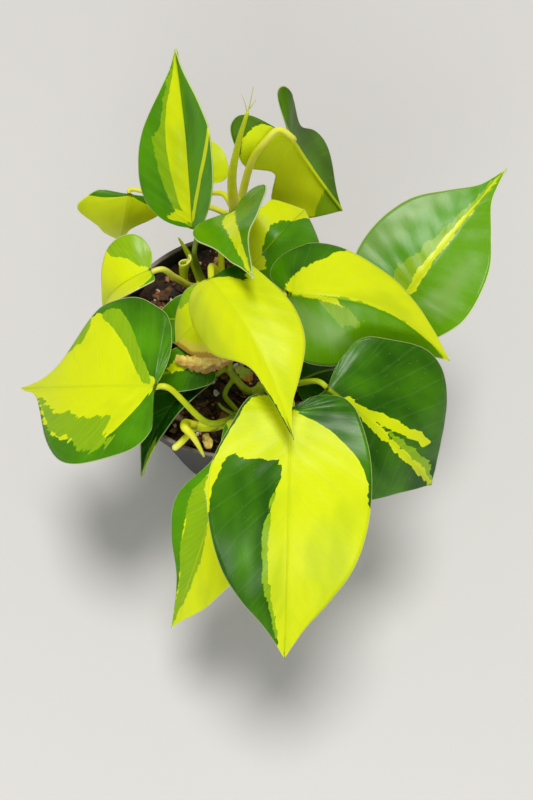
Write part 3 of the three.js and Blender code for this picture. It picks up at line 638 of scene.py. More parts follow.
def makeLeaf(name, number):
    make = bladeMake
    blade = Blade(name)
    form = blade.form
    sheet = surfaceGrid(make["columns"], make["rows"])
    marks, spot, vein, tone, dryness = layers(sheet, "marks", "spot", "vein", "tone", "dryness")
    rowLength = blade.length * make["rowStretch"]
    shares = []
    for vertex in sheet.verts:
        row = (vertex.co.y + 1) / 2
        place = math.copysign(abs(vertex.co.x) ** make["crowding"], vertex.co.x)
        half = 1 if place > 0 else 0
        reach = abs(place)
        margin = blade.margin(half, row)
        start = blade.veinStart(row)
        x = start + (margin.x - start) * reach
        fromRib = margin.y * reach * blade.halfWidths[half]
        veinLength = math.hypot(margin.y * blade.halfWidths[half], (margin.x - start) * blade.length)
        fromEdge = veinLength * (1 - reach)
        fields, teeth = markFields(blade, row, place, max(veinLength, 2), rowLength)
        ribHere = make["ribWidth"] * form["rib"] * (1 - make["ribTaper"] * max(x, 0))
        groove = math.exp(-(fromRib / ribHere) ** 2)
        ripple = math.sin(row * rowLength * make["ripplePitch"]) * min(1, fromEdge / 3) * min(1, fromRib / 4)
        u, v = x * blade.length * make["swellScale"], place * veinLength * make["swellScale"]
        swell = noise.noise(Vector((u, v, number * make["swellSeed"]))) * min(1, fromRib / 5)
        lift = make["ripple"] * ripple - make["groove"] * groove + make["swell"] * swell
        point = blade.point(half, x, margin.y * reach) + blade.directions(max(x, 0))[1] * lift
        vertex[marks] = (fields["green"], fields["olive"], fields["pale"])
        vertex[spot] = (fromRib, fromEdge if row > 0.02 else 9, fields["lime"])
        vertex[vein] = (place * veinLength, row * rowLength, number * make["veinSeed"])
        vertex[tone] = (form["depth"][half], ribHere, teeth)
        vertex[dryness] = Vector((1, 1, 1)) * (form["dried"][half] * min(1, row * 3) - make["driedShy"])
        vertex.co = point * mm
        shares.append(make["thinShare"] + (1 - make["thinShare"]) * groove)
    made = toObject("leaf." + name, sheet, leafTop, leafUnder)
    group = made.vertex_groups.new(name="rib")
    for index, share in enumerate(shares):
        group.add([index], share, "REPLACE")
    weld = made.modifiers.new("close", "WELD")
    weld.merge_threshold = make["weld"] * mm
    wall = made.modifiers.new("blade", "SOLIDIFY")
    wall.thickness = make["ribThickness"] * mm
    wall.offset = make["lowered"]
    wall.vertex_group = "rib"
    wall.thickness_vertex_group = make["rimShare"]
    wall.material_offset = 1
    wall.material_offset_rim = 0
    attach(made, "root")
    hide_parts("leaf_" + name)


for number, name in enumerate(leaves):
    makeLeaf(name, number)
print("leaves ready:", len(leaves))


# Stems
# Lengths in millimetres. The tint is 0 whitish, 0.2 yellow, 0.45 lime, 0.7 olive, and from 0.9 on brown.
stemColors = [
    (0, (0.84, 0.82, 0.22)), (0.2, (0.76, 0.78, 0.01)), (0.45, (0.50, 0.62, 0.004)),
    (0.7, (0.17, 0.26, 0.01)), (0.9, (0.16, 0.09, 0.02)), (1, (0.20, 0.09, 0.03)),
]
stemMake = {
    "sides": 20, "step": 0.8, "voxel": 0.38, "smoothing": 4, "footOver": 0.4, "footTint": (0.75, 0.6),
    "soilTop": 87, "rootDepth": 12, "underBlade": 0.9, "underRib": 0.5, "intoBlade": 3.5,
    "neck": 4.5, "neckTaper": 0.45, "roundEnd": 1.6, "tintReach": 0.4,
    "ringWidth": 0.9, "ringRadius": 4.5, "ringColor": (0.13, 0.045, 0.015), "spotColor": (0.7, 0.66, 0.3),
    "rollTurns": 1.3, "rollStart": 2.2, "rollThickness": 0.4, "rollStep": 0.6, "rollColumns": 40,
    "rollTight": 0.62, "rollSlant": 1.6, "rollTip": 0.86,
    "driedRadius": 0.3, "driedTint": (0.02, 0.3), "driedStep": 0.5, "driedSides": 8,
}


def stemLooks(tree, principled):
    _, tint, ring = parts(attribute(tree, "stalk"))
    place = objectPlace(tree)
    patchy = grain(place, 260)
    fine = grain(place, 1500, 2)
    shade = tint + (patchy - 0.5) * 0.22 + (fine - 0.5) * 0.05
    color = addNode(tree, "ShaderNodeValToRGB", {"stops": stemColors}, {0: shade})
    spots = 1 - cells(place, 900).rise(0.1, 0.25)
    color = coated(color, (ring * 0.8, stemMake["ringColor"]), (spots * 0.25, stemMake["spotColor"]))
    height = patchy * 0.6 + fine * 0.4
    feed(tree, principled, color, patchy * 0.2 + 0.26, height, 0.25, Specular_IOR_Level=0.3)


stemSkin = newMaterial("stemSkin", stemLooks)


def stem(path, radii, tint, leaf=None, lead=6):
    # Its points, the radius and the tint at its two ends, and for a stalk its leaf and its last run before it
    return {"path": path, "radii": radii, "tint": tint, "leaf": leaf, "lead": lead}


vines = {
    "vine_left": {
        "root": (-15, 31),
        "stems": [
            stem([(-15, 31, 88), (-17, 35, 100), (-18, 36, 110)], (1.5, 1), (0.74, 0.7), "tall"),
            stem([(-15, 31, 89), (-20, 27, 96), (-26, 23, 112)], (1.8, 1.2), (0.2, 0.1), "small_left"),
            stem([(-15, 31, 89), (-18, 35, 98), (-22, 39, 108), (-25, 41, 116)], (2.6, 0.5), (0.4, 0.55)),
            stem([(-16, 30, 89), (-21, 27, 96), (-22.4, 27.5, 101)], (1.6, 1.2), (0.35, 0.2)),
        ],
        "rolls": [stem([(-21.6, 27, 97), (-23, 28, 104), (-22, 30.8, 112.6)], (1.5, 3.3), (0.55, 0.05))],
    },
    "vine_centre": {
        "root": (-2, 10),
        "rings": [(-3, 12, 97), (-6, 44, 121)],
        "stems": [
            stem([(-2, 10, 88), (-5, 17, 118), (-8, 9, 147)], (2.2, 1.2), (0.3, 0.2), "centre", 3),
            stem([(-2, 10, 89), (-6, 30, 98), (-5, 42, 118)], (1.8, 1.1), (0.4, 0.4), "folded"),
            stem([(-2, 10, 90), (2, 17, 101)], (1.6, 1), (0.4, 0.3), "curled"),
            stem([(-3, 13, 98), (2, 0, 117)], (1.6, 1), (0.3, 0.2), "mid"),
            stem([(-3, 9, 90), (-6, 5, 97)], (1.4, 0.9), (0.5, 0.5), "mid_back"),
        ],
    },
    "vine_front": {
        "root": (12, -20),
        "rings": [(-1, -39, 99.5), (-10.5, -42, 101.5), (-19, -42, 104)],
        "stems": [
            stem([(12, -20, 89), (10, -26, 94), (4, -35, 98), (-5, -41, 100), (-13, -43, 102),
                  (-22, -42, 104)], (2.4, 2.2), (0.65, 0.25)),
            stem([(0, -38, 99), (-11, -44, 110)], (1.5, 1.2), (0.6, 0.3), "left"),
            stem([(6, -32, 97), (14, -38, 115)], (1.8, 1.3), (0.5, 0.3), "front"),
            stem([(1, -37, 98), (4, -45, 107)], (1.7, 1.2), (0.4, 0.3), "front_left"),
            stem([(-20, -42, 104), (-20, -46, 109), (-17, -49, 108), (-14, -53, 104), (-12, -56, 99)],
                 (2.3, 0.6), (0.22, 0.15)),
            stem([(-16, -43, 102), (-22, -49, 99.5), (-26, -52, 98)], (1.5, 1.5), (0.38, 0.05)),
            stem([(12, -20, 89), (6, -23, 93), (0, -18, 97), (-3, -14, 99)], (2, 1.5), (0.6, 0.6)),
            stem([(0, -18, 96), (-4, -14, 96)], (1.4, 0.9), (0.6, 0.6), "dark"),
            stem([(-2, -15, 98), (-2, -13, 104)], (1.3, 0.9), (0.55, 0.5), "mid_green"),
            stem([(0, -18, 97), (-4, -26, 97), (-1, -31, 97), (3, -36, 98)], (1.2, 1.2), (0.6, 0.55)),
            stem([(8, -31, 97), (2, -37, 101), (-4, -35, 102), (-7, -32, 103)], (1.2, 0.7), (0.6, 0.7)),
        ],
    },
    "vine_right": {
        "root": (27, -14),
        "stems": [
            stem([(27, -14, 88), (25, -9, 110), (20, -5, 135)], (2.2, 1.2), (0.5, 0.3), "right"),
            stem([(27, -14, 92), (42, -6, 106), (58, 0, 111)], (1.7, 1.2), (0.5, 0.35), "right_up"),
            stem([(27, -14, 89), (18, -23, 102), (22, -30, 116)], (1.6, 1.1), (0.55, 0.5), "right_low"),
            stem([(27, -14, 90), (22, -22, 97)], (1.3, 0.9), (0.6, 0.6), "shade"),
        ],
    },
    "vine_back": {
        "root": (3, 42),
        "dried": [
            [(6.4, 69.8, 166), (7.4, 71.4, 170), (8.2, 73, 174), (8.8, 74, 177.5)],
            [(6.2, 69.4, 164.5), (5.6, 71.2, 168), (4.6, 73, 171), (3.4, 74, 173)],
            [(6.8, 70.4, 167), (8.6, 71.4, 169.4), (10.2, 72.8, 171.6)],
        ],
        "rings": [(1.6, 53, 103), (0.5, 58.5, 113)],
        "stems": [
            stem([(3, 42, 88), (2, 50, 97), (0, 56, 109)], (2.6, 3), (0.35, 0.12)),
            stem([(0, 56, 107), (-1, 61, 130), (2, 65, 150), (5, 68, 162), (6.6, 70, 167)],
                 (2.8, 0.8), (0.12, 0.38)),
            stem([(1, 57, 106), (4, 63, 121), (8, 67, 137), (13, 69, 146), (19, 72, 151)],
                 (2, 1.3), (0.15, 0.14), "droop"),
            stem([(0, 57, 107), (-5, 65, 112)], (1.6, 0.9), (0.3, 0.1), "sliver"),
            stem([(0, 57, 105), (-11, 59, 111), (-27, 63, 112), (-40, 67, 111)],
                 (1.5, 1), (0.15, 0.15), "far_left", 2),
        ],
    },
}


def evenPath(points, step):
    # Points at even distances along the smooth curve, and its length
    curve = [Vector(p) for p in points]
    spans = 200
    dense = [splinePoint(curve, k / spans) for k in range(spans + 1)]
    lengths = [0]
    for a, b in zip(dense, dense[1:]):
        lengths.append(lengths[-1] + (b - a).length)
    count = max(4, round(lengths[-1] / step))
    made = []
    k = 0
    for i in range(count + 1):
        wanted = lengths[-1] * i / count
        while k < spans - 1 and lengths[k + 1] < wanted:
            k += 1
        span = lengths[k + 1] - lengths[k]
        made.append(dense[k].lerp(dense[k + 1], (wanted - lengths[k]) / span if span else 0))
    return made, lengths[-1]


def tangentAt(path, k):
    return (path[min(k + 1, len(path) - 1)] - path[max(k - 1, 0)]).normalized()


def toMetres(sheet):
    bmesh.ops.scale(sheet, vec=(mm, mm, mm), verts=sheet.verts)


def addPart(sheet, part):
    # Moves a part's mesh into the sheet, and gives its corners there
    mesh = bpy.data.meshes.new("part")
    part.to_mesh(mesh)
    part.free()
    before = len(sheet.verts)
    sheet.from_mesh(mesh)
    bpy.data.meshes.remove(mesh)
    sheet.verts.ensure_lookup_table()
    return sheet.verts[before:]


def addTube(sheet, path, radiusAt, sides):
    # A closed tube round a path, rolled from a flat grid
    last = len(path) - 1
    part = surfaceGrid(sides, last)
    crosses = []
    side = None
    for k in range(len(path)):
        tangent = tangentAt(path, k)
        side = side - tangent * side.dot(tangent) if side else tangent.orthogonal()
        side.normalize()
        crosses.append((side.copy(), tangent.cross(side)))
    for vertex in part.verts:
        k = round((vertex.co.y + 1) / 2 * last)
        angle = vertex.co.x * math.pi
        u, v = crosses[k]
        r = radiusAt(k / last) if 0 < k < last else 0
        vertex.co = path[k] + (u * math.cos(angle) + v * math.sin(angle)) * r
    bmesh.ops.remove_doubles(part, verts=part.verts, dist=0.001)
    bmesh.ops.recalc_face_normals(part, faces=part.faces)
    addPart(sheet, part)


def stalkEnd(leafName, radius, lead):
    # The last points of a stalk, which comes up to the midrib from below
    blade = Blade(leafName)
    tangent, normal, _ = blade.directions(0)
    below = stemMake["underBlade"] + radius
    base = blade.midrib(0)
    return [base - tangent * lead - normal * (below + 1), base + tangent * 0.5 - normal * below,
            base + tangent * stemMake["intoBlade"] - normal * (stemMake["underRib"] + radius * 0.5)]


def blunt(share, length):
    # 0 to 1: rounds the two ends of a tube
    near = min(share, 1 - share) * length
    return math.sqrt(max(0, 1 - max(0, 1 - near / stemMake["roundEnd"]) ** 2))


def stemRadius(run, length):
    # Gives the radius at a share of a stem's length. A stalk narrows before its leaf.
    first, last = run["radii"]
    taper = stemMake["neckTaper"] if run["leaf"] else 0

    def radiusAt(share):
        narrow = 1 - taper * max(0, 1 - (1 - share) * length / stemMake["neck"])
        return (first + (last - first) * share) * narrow * blunt(share, length)

    return radiusAt


def ringAt(vine, place):
    # 1 on the brown ring where a stalk or sheath was attached
    best = 0
    for ring in vine.get("rings", []):
        gap = place / mm - Vector(ring)
        if gap.length < stemMake["ringRadius"]:
            flat = abs(gap.z + 0.5 * noise.noise(place * 900))
            best = max(best, 1 - min(1, flat / stemMake["ringWidth"]))
    return best


def addTinted(sheet, stalk, part, values):
    # Adds a separate shape, in millimetres, to the vine's mesh, with its own tints
    toMetres(part)
    for vertex, value in zip(addPart(sheet, part), values):
        vertex[stalk] = value


def addRoll(sheet, stalk, roll):
    # A young leaf, still rolled up and open at the top
    path, length = evenPath(roll["path"], stemMake["rollStep"])
    last = len(path) - 1
    part = surfaceGrid(stemMake["rollColumns"], last)
    axis = (path[-1] - path[0]).normalized()
    side = axis.cross(Vector((0, 1, 0))).normalized()
    other = axis.cross(side)
    low, high = roll["radii"]
    tint, tipTint = roll["tint"]
    tight, tip = stemMake["rollTight"], stemMake["rollTip"]
    values = []
    for vertex in part.verts:
        share = (vertex.co.y + 1) / 2
        turn = (vertex.co.x + 1) / 2
        angle = turn * stemMake["rollTurns"] * fullTurn + stemMake["rollStart"]
        reach = (low + (high - low) * share ** 1.5) * (tight + (1 - tight) * turn)
        rise = axis * (stemMake["rollSlant"] * share ** 3 * math.sin(angle * 0.7 + 1))
        around = side * math.cos(angle) + other * math.sin(angle)
        vertex.co = path[round(share * last)] + around * reach + rise
        paler = (tint - tipTint) * max(0, share - tip) / (1 - tip)
        values.append((share * length, tint - paler - 0.1 * turn, 0))
    bmesh.ops.recalc_face_normals(part, faces=part.faces)
    bmesh.ops.solidify(part, geom=part.faces[:], thickness=stemMake["rollThickness"])
    addTinted(sheet, stalk, part, values + values)


def addDried(sheet, stalk, points):
    # A thread of dried sheath
    path, _ = evenPath(points, stemMake["driedStep"])
    part = bmesh.new()
    addTube(part, path, lambda share: stemMake["driedRadius"] * (1 - 0.7 * share), stemMake["driedSides"])
    tint, ring = stemMake["driedTint"]
    addTinted(sheet, stalk, part, [(k, tint, ring) for k in range(len(part.verts))])


def bakeModifiers(made):
    # Leaves the object with its finished mesh
    graph = bpy.context.evaluated_depsgraph_get()
    baked = bpy.data.meshes.new_from_object(made.evaluated_get(graph))
    made.modifiers.clear()
    made.data = baked


def addStems(vine):
    # Tubes for the foot and all the stems, and the marks that tell where along a stem each place is
    x, y = vine["root"]
    radius = vine["stems"][0]["radii"][0] + stemMake["footOver"]
    top = stemMake["soilTop"]
    foot = [(x, y, top - stemMake["rootDepth"] + 1), (x, y, top - 4), (x, y, top + 6)]
    lump = bmesh.new()
    marks = []
    for run in [stem(foot, (radius, radius), stemMake["footTint"])] + vine["stems"]:
        points = [Vector(p) for p in run["path"]]
        if run["leaf"]:
            points += stalkEnd(run["leaf"], run["radii"][1], run["lead"])
        path, length = evenPath(points, stemMake["step"])
        addTube(lump, path, stemRadius(run, length), stemMake["sides"])
        first, last = run["tint"]
        for k, point in enumerate(path):
            share = k / (len(path) - 1)
            marks.append((point, share * length, first + (last - first) * share))
    toMetres(lump)
    return lump, marks


def tintStems(vine, sheet, stalk, marks):
    tree = KDTree(len(marks))
    for k, mark in enumerate(marks):
        tree.insert(mark[0] * mm, k)
    tree.balance()
    for vertex in sheet.verts:
        near = tree.find_n(vertex.co, 4)
        weights = [1 / (gap + stemMake["tintReach"] * mm) ** 2 for _, _, gap in near]
        tint = sum(marks[k][2] * weight for (_, k, _), weight in zip(near, weights)) / sum(weights)
        vertex[stalk] = (marks[near[0][1]][1], tint, ringAt(vine, vertex.co))


def makeVine(name):
    vine = vines[name]
    lump, marks = addStems(vine)
    made = toObject(name.replace("_", ".") + ".stems", lump, stemSkin)
    fuse = made.modifiers.new("fuse", "REMESH")
    fuse.mode = "VOXEL"
    fuse.voxel_size = stemMake["voxel"] * mm
    bakeModifiers(made)
    sheet = bmesh.new()
    sheet.from_mesh(made.data)
    for _ in range(stemMake["smoothing"]):
        bmesh.ops.smooth_vert(sheet, verts=sheet.verts, factor=0.5, use_axis_x=True, use_axis_y=True,
                              use_axis_z=True)
    stalk, = layers(sheet, "stalk")
    tintStems(vine, sheet, stalk, marks)
    for roll in vine.get("rolls", []):
        addRoll(sheet, stalk, roll)
    for path in vine.get("dried", []):
        addDried(sheet, stalk, path)
    sheet.to_mesh(made.data)
    sheet.free()
    shadeSmooth(made.data)
    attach(made, "root")
    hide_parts(name)


for name in vines:
    makeVine(name)
print("vines ready:", len(vines))


# Dried sheaths
sheaths = {
    "sheath_under": {"path": [(-24, -19, 119.4), (-19, -21.2, 120), (-11, -22.6, 121), (1, -20, 123.4)],
                     "width": 7, "face": (0, -0.6, 0.8), "tint": 0.3},
    "sheath_stub": {"path": [(1.5, -24.2, 121.5), (5, -24.5, 116), (7, -25, 109)],
                    "width": 5, "face": (0.2, -0.8, 0.5), "tint": 0.8},
    "sheath_low": {"path": [(-12, -45.6, 100.5), (-11, -48.5, 98.5), (-10.5, -51, 96.8)],
                   "width": 4, "face": (0, -0.5, 0.8), "tint": 0.34},
}
sheathMake = {
    "columns": 16, "step": 0.4, "thickness": 0.3, "torn": 0.3, "crinkle": 0.6, "cup": -0.12, "wave": 0.3,
    "gold": (0.82, 0.66, 0.14), "ochre": (0.66, 0.40, 0.06), "brown": (0.24, 0.10, 0.02),
    "fibre": (0.88, 0.78, 0.30), "green": (0.28, 0.36, 0.02), "orange": (0.50, 0.17, 0.015),
}


def sheathLooks(tree, principled):
    make = sheathMake
    along, across, tint = parts(attribute(tree, "strip"))
    fibres = grain(combine(along * 0.9, across * 0.7, tint * 20), 1)
    patchy = grain(combine(along * 0.4, across * 0.6, tint * 9), 1)
    browned = (across * 0.35 + (patchy - 0.5) * 1.6).rise(0.15, 0.7)
    greenish = (tint + (patchy - 0.5) * 0.3).rise(0.55, 0.75)
    color = coated(blend(patchy.rise(0.35, 0.65), make["gold"], make["ochre"]),
                   (browned * 0.85, make["brown"]), (fibres.rise(0.58, 0.75) * 0.4, make["fibre"]),
                   (greenish, make["green"]), (greenish * along.rise(8.2, 10.2), make["orange"]))
    feed(tree, principled, color, fibres * 0.2 + 0.45, fibres + patchy, 0.12)


sheathPaper = newMaterial("sheathPaper", sheathLooks)


def makeSheath(name):
    form = sheaths[name]
    path, length = evenPath(form["path"], sheathMake["step"])
    face = Vector(form["face"]).normalized()
    last = len(path) - 1
    sheet = surfaceGrid(sheathMake["columns"], last)
    strip, = layers(sheet, "strip")
    for vertex in sheet.verts:
        k = round((vertex.co.y + 1) / 2 * last)
        share = k / last
        across = vertex.co.x
        side = tangentAt(path, k).cross(face).normalized()
        reach = form["width"] / 2 * (0.3 + 0.75 * math.sin(math.pi * (0.04 + 0.88 * share)))
        torn = sheathMake["torn"] * noise.noise(Vector((k * 0.35, across * 2, length)))
        reach *= 1 + torn * abs(across)
        crinkle = sheathMake["crinkle"] * noise.noise(Vector((k * 0.3, across * 1.3, form["width"])))
        wave = sheathMake["wave"] * math.sin(9 * share + 2 * across)
        lift = sheathMake["cup"] * reach * across * across + wave + crinkle
        vertex[strip] = (share * length, across * reach, form["tint"])
        vertex.co = (path[k] + side * (across * reach) + face * lift) * mm
    made = toObject(name.replace("_", "."), sheet, sheathPaper)
    wall = made.modifiers.new("paper", "SOLIDIFY")
    wall.thickness = sheathMake["thickness"] * mm
    wall.offset = 0
    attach(made, "root")
    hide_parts(name)


for name in sheaths:
    makeSheath(name)
print("sheaths ready:", len(sheaths))


# Pot
pot = {
    "rimRadius": 55, "rimDrop": 11, "rimThickness": 2.2, "height": 95, "collarRadius": 52.2,
    "collarStep": 1.2, "footRadius": 38, "footRise": 0.8, "wall": 1.5, "floor": 2.4, "steps": 180,
    "drains": 6, "drainRadius": 3, "drainDepth": 12, "drainCircle": 27, "flat": 0.97,
    "plastic": (0.022, 0.023, 0.025), "worn": (0.085, 0.08, 0.075), "rimDust": (0.30, 0.24, 0.20),
    "soilDust": (0.11, 0.055, 0.025), "specks": (0.3, 0.28, 0.25),
}


def potLooks(tree, principled):
    place = objectPlace(tree)
    x, y, z = parts(place)
    dust = grain(place, 60, 4, 0.6)
    specks = grain(place, 900, 3, 0.6)
    rub = grain(stretched(place, (20, 20, 260)), 1)
    nearTop = z.rise(93.5 * mm, 95.5 * mm)
    inside = 1 - ((x * x + y * y) * 1000).rise(2.68, 2.76)  # the square of the distance from the axis
    color = coated(blend(dust.rise(0.42, 0.8) * 0.5, pot["plastic"], pot["worn"]),
                   (nearTop * dust.rise(0.3, 0.6) * 0.8, pot["rimDust"]),
                   (inside * z.rise(84 * mm, 86 * mm) * dust.rise(0.35, 0.6) * 0.8, pot["soilDust"]),
                   (specks.rise(0.68, 0.75) * 0.3, pot["specks"]))
    feed(tree, principled, color, dust * 0.25 + 0.36 + rub * 0.1, specks * 0.5 + rub * 0.3, 0.12)


potPlastic = newMaterial("potPlastic", potLooks)


def potProfile():
    rim, height, collarTop = pot["rimRadius"], pot["height"], pot["height"] - pot["rimDrop"]
    collar, foot, wall, floor = pot["collarRadius"], pot["footRadius"], pot["wall"], pot["floor"]
    inner = rim - pot["rimThickness"]
    under = collar - pot["collarStep"]
    rise = pot["footRise"]
    outside = [(0, rise), (20, rise), (foot - 5, rise), (foot - 4.2, 0), (foot - 1, 0), (foot - 0.3, 0.3),
               (foot, 1)]
    slope = [(foot + (under - foot) * k / 10, 1 + (collarTop - 3) * k / 10) for k in range(1, 11)]
    top = [
        (collar - 1, collarTop), (rim - 1.6, collarTop), (rim - 1.1, collarTop + 0.3),
        (rim - 0.95, collarTop + 1), (rim - 0.6, height - 3), (rim - 0.5, height - 2.6),
        (rim - 0.1, height - 2.1), (rim, height - 1.6),
        (rim, height - 0.8), (rim - 0.2, height - 0.3), (rim - 0.6, height), (inner + 0.5, height),
        (inner + 0.1, height - 0.2), (inner, height - 0.6), (inner - 0.6, collarTop + 1),
        (inner - 1, collarTop + 0.4), (collar - 1 - wall, collarTop - 0.4), (under - wall, collarTop - 2),
    ]
    inside = [(foot - wall, floor), (foot - 5, floor), (20, floor), (0, floor)]
    return outside + slope + top + inside


def spinProfile(profile, steps):
    # A closed shape from a profile of radii and heights, turned round the axis
    sheet = bmesh.new()
    points = [sheet.verts.new((r * mm, 0, z * mm)) for r, z in profile]
    edges = [sheet.edges.new(pair) for pair in zip(points, points[1:])]
    bmesh.ops.spin(sheet, geom=points + edges, cent=(0, 0, 0), axis=(0, 0, 1), angle=fullTurn, steps=steps,
                   use_merge=True)
    bmesh.ops.remove_doubles(sheet, verts=sheet.verts, dist=0.005 * mm)
    bmesh.ops.recalc_face_normals(sheet, faces=sheet.faces)
    return sheet


def drainDrill():
    cutter = bmesh.new()
    for k in range(pot["drains"]):
        angle = (k + 0.5) / pot["drains"] * fullTurn
        centre = Vector((math.cos(angle), math.sin(angle), 0)) * (pot["drainCircle"] * mm)
        bmesh.ops.create_cone(cutter, cap_ends=True, segments=32, radius1=pot["drainRadius"] * mm,
                              radius2=pot["drainRadius"] * mm, depth=pot["drainDepth"] * mm,
                              matrix=Matrix.Translation(centre))
    return toObject("drill", cutter, potPlastic)


def makePot():
    made = toObject("pot.nursery", spinProfile(potProfile(), pot["steps"]), potPlastic)
    drill = drainDrill()
    cut = made.modifiers.new("drains", "BOOLEAN")
    cut.object = drill
    cut.operation = "DIFFERENCE"
    cut.solver = "EXACT"
    bakeModifiers(made)
    bpy.data.objects.remove(drill)
    smooth = [abs(face.normal.z) < pot["flat"] for face in made.data.polygons]
    made.data.polygons.foreach_set("use_smooth", smooth)
    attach(made, "root")
    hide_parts("pot")


makePot()
print("pot ready")


# Soil
# Loose pieces: how many, their sizes, their form as shares of the size, and the corners of one
soil = {
    "height": 87, "heap": 2.6, "gap": 0.35, "collarRadius": 51.4, "ledge": 85, "rings": 64, "sectors": 150,
    "lump": 1.7, "lumpScale": 0.11, "fineLump": 0.6, "fineScale": 0.9, "seed": 4127, "sunk": 0.3, "tilt": 0.8,
    "bark": {"count": 760, "sizes": (1.6, 6.4), "form": (1, 0.6, 0.3), "corners": 14},
    "crumbs": {"count": 900, "sizes": (0.6, 1.8), "form": (1, 0.8, 0.6), "corners": 10},
    "perlite": {"count": 70, "sizes": (0.8, 2.3), "form": (1, 0.9, 0.8), "corners": 22},
    "fibres": {"count": 70, "widths": (0.12, 0.28), "step": 2.2, "steps": 5, "turn": 0.7, "sides": 6,
               "tint": 0.72},
    "lightShare": 0.09, "pinkShare": 0.12, "lightTint": 0.92, "darkTint": 0.75, "rootRoom": 3,
}
# The bed's tones are kept a little darker overall: partly the soil's own dark colour, partly painted shade
# for the shadow of the leaves over it
soilColors = {
    "deep": (0.006, 0.003, 0.001), "clod": (0.065, 0.027, 0.008), "grit": (0.26, 0.12, 0.045),
    "barkGroove": (0.012, 0.006, 0.003), "perlite": (0.82, 0.80, 0.76), "dirt": (0.40, 0.31, 0.22),
    "bark": [(0, (0.012, 0.005, 0.002)), (0.4, (0.08, 0.032, 0.010)), (0.7, (0.27, 0.11, 0.028)),
             (0.9, (0.55, 0.26, 0.07)), (1, (0.6, 0.36, 0.25))],
}


def soilLooks(tree, principled):
    place = objectPlace(tree)
    clods = grain(place, 220, 5, 0.65)
    grit = grain(place, 1300, 3, 0.6)
    color = blend(clods.rise(0.35, 0.7), soilColors["deep"], soilColors["clod"])
    color = blend(grit.rise(0.62, 0.72) * 0.6, color, soilColors["grit"])
    feed(tree, principled, color, grit * 0.15 + 0.8, clods + grit * 0.5, 1.2)


def barkLooks(tree, principled):
    fibres = grain(stretched(objectPlace(tree), (300, 900, 500)), 1, 4, 0.65)
    tint = parts(attribute(tree, "piece"))[0]
    color = addNode(tree, "ShaderNodeValToRGB", {"stops": soilColors["bark"]}, {0: tint})
    color = blend(fibres.rise(0.45, 0.62) * 0.8, color, soilColors["barkGroove"])
    feed(tree, principled, color, fibres * 0.2 + 0.62, fibres, 0.5)


def perliteLooks(tree, principled):
    place = objectPlace(tree)
    dirt = grain(place, 400, 4)
    color = blend(dirt.rise(0.5, 0.8) * 0.6, soilColors["perlite"], soilColors["dirt"])
    feed(tree, principled, color, dirt * 0.1 + 0.8, cells(place, 2200), 0.3)


soilMix = newMaterial("soilMix", soilLooks)
barkChips = newMaterial("barkChips", barkLooks)
perliteWhite = newMaterial("perliteWhite", perliteLooks)


def soilRadius(z):
    innerFoot = pot["footRadius"] - pot["wall"]
    innerTop = pot["collarRadius"] - pot["collarStep"] - pot["wall"]
    share = (z - pot["floor"]) / (pot["height"] - pot["rimDrop"] - 2 - pot["floor"])
    return innerFoot + (innerTop - innerFoot) * min(share, 1) - soil["gap"]


def bedHeight(x, y):
    lumps = noise.fractal(Vector((x * soil["lumpScale"], y * soil["lumpScale"], 3.1)), 0.9, 2.2, 4)
    fine = noise.noise(Vector((x * soil["fineScale"], y * soil["fineScale"], 8.2)))
    heap = soil["heap"] * max(0, (y - x) / 70)
    return soil["height"] - 0.6 + soil["lump"] * lumps + soil["fineLump"] * fine + heap


def makeSoil():
    bottom = pot["floor"] + soil["gap"]
    collarTop = pot["height"] - pot["rimDrop"]
    rim = soil["collarRadius"]
    profile = [(0, bottom), (soilRadius(bottom), bottom), (soilRadius(collarTop), collarTop - 2),
               (soilRadius(collarTop), collarTop), (rim, soil["ledge"])]
    profile += [(rim * (1 - k / soil["rings"]), soil["height"]) for k in range(soil["rings"] + 1)]
    sheet = spinProfile(profile, soil["sectors"])
    for vertex in sheet.verts:
        if vertex.co.z > (soil["height"] - 0.5) * mm:
            vertex.co.z = bedHeight(vertex.co.x / mm, vertex.co.y / mm) * mm
    made = toObject("soil.bed", sheet, soilMix)
    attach(made, "root")
    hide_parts("soil")


def barkTint(dice):
    pick = dice.random()
    if pick < soil["lightShare"]:
        return soil["lightTint"]
    if pick < soil["pinkShare"]:
        return 1
    return dice.random() ** 1.2 * soil["darkTint"]


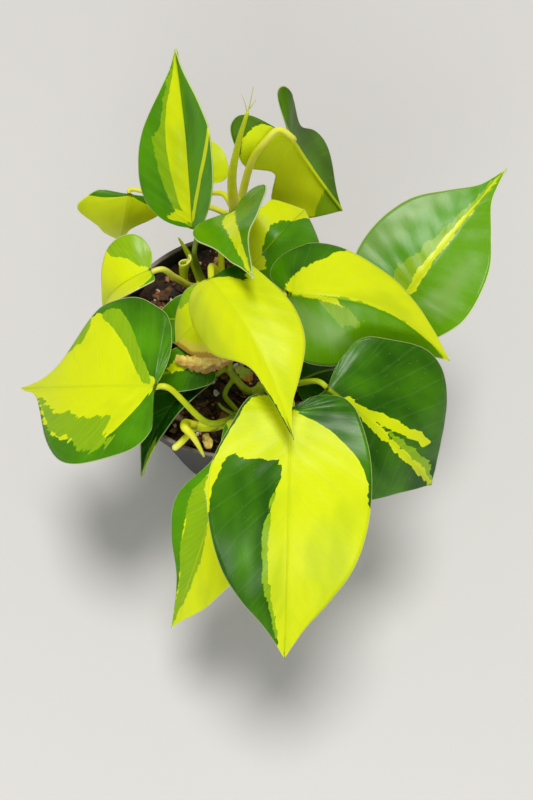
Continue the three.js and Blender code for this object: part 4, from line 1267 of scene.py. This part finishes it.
def scatter(dice, kind):
    # One mesh of many loose pieces, each a rough hull sunk partly into the bed
    wanted = soil[kind]
    small, large = wanted["sizes"]
    sheet = bmesh.new()
    piece, = layers(sheet, "piece")
    roots = [Vector(vine["root"]) for vine in vines.values()]
    for _ in range(wanted["count"]):
        size = small + (large - small) * dice.random() ** 2
        r = (soil["collarRadius"] - size) * math.sqrt(dice.random())
        angle = dice.random() * fullTurn
        x, y = r * math.cos(angle), r * math.sin(angle)
        if min((Vector((x, y)) - root).length for root in roots) < size + soil["rootRoom"]:
            continue
        turn = Matrix.Rotation(dice.random() * fullTurn, 3, "Z")
        for axis in "XY":
            turn = turn @ Matrix.Rotation(dice.uniform(-soil["tilt"], soil["tilt"]), 3, axis)
        centre = Vector((x, y, bedHeight(x, y) + size * wanted["form"][2] * soil["sunk"]))
        corners = []
        for _ in range(wanted["corners"]):
            spot = Vector([dice.gauss(0, 1) for _ in range(3)]).normalized()
            spot = Vector([a * b * size * dice.uniform(0.75, 1) for a, b in zip(spot, wanted["form"])])
            corners.append(sheet.verts.new((centre + turn @ spot) * mm))
        tint = 0 if kind == "perlite" else barkTint(dice)
        for corner in corners:
            corner[piece] = (tint, 0, 0)
        bmesh.ops.convex_hull(sheet, input=corners)
    bmesh.ops.delete(sheet, geom=[v for v in sheet.verts if not v.link_faces], context="VERTS")
    bmesh.ops.recalc_face_normals(sheet, faces=sheet.faces)
    return sheet


def makeFibres(dice):
    # Thin strands that wander over the bed
    wanted = soil["fibres"]
    edge = soilRadius(soil["height"])
    strands = bmesh.new()
    for _ in range(wanted["count"]):
        r = edge * math.sqrt(dice.random()) * 0.85
        angle = dice.random() * fullTurn
        heading = dice.random() * fullTurn
        points = []
        x, y = r * math.cos(angle), r * math.sin(angle)
        for _ in range(wanted["steps"]):
            if math.hypot(x, y) > edge - 2:
                break
            points.append(Vector((x, y, bedHeight(x, y) + dice.uniform(-0.3, 0.9))))
            heading += dice.uniform(-wanted["turn"], wanted["turn"])
            x += wanted["step"] * math.cos(heading)
            y += wanted["step"] * math.sin(heading)
        if len(points) < 3:
            continue
        path, _ = evenPath(points, 0.8)
        width = dice.uniform(*wanted["widths"])
        addTube(strands, path, lambda share, width=width: width * (1 - 0.4 * share), wanted["sides"])
    toMetres(strands)
    piece, = layers(strands, "piece")
    for vertex in strands.verts:
        vertex[piece] = (wanted["tint"] + 0.1 * noise.noise(vertex.co * 60), 0, 0)
    made = toObject("soil.fibres", strands, barkChips)
    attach(made, "root")


def makeLoose():
    dice = random.Random(soil["seed"])
    for kind, material in (("bark", barkChips), ("crumbs", barkChips), ("perlite", perliteWhite)):
        made = toObject("soil." + kind, scatter(dice, kind), material)
        shadeSmooth(made.data, kind == "perlite")
        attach(made, "root")
    makeFibres(dice)


makeSoil()
makeLoose()
print("soil ready")


# Floor
def floorLooks(tree, principled):
    soft = grain(objectPlace(tree), 3, 2)
    color = blend(soft, studio["floorColor"], studio["floorLight"])
    feed(tree, principled, color, soft * 0.05 + 0.75)


def makeFloor():
    sheet = bmesh.new()
    bmesh.ops.create_grid(sheet, x_segments=4, y_segments=4, size=studio["floorSize"] / 2 * mm)
    made = toObject("floor", sheet, newMaterial("floorPale", floorLooks))


makeFloor()
print("floor ready")
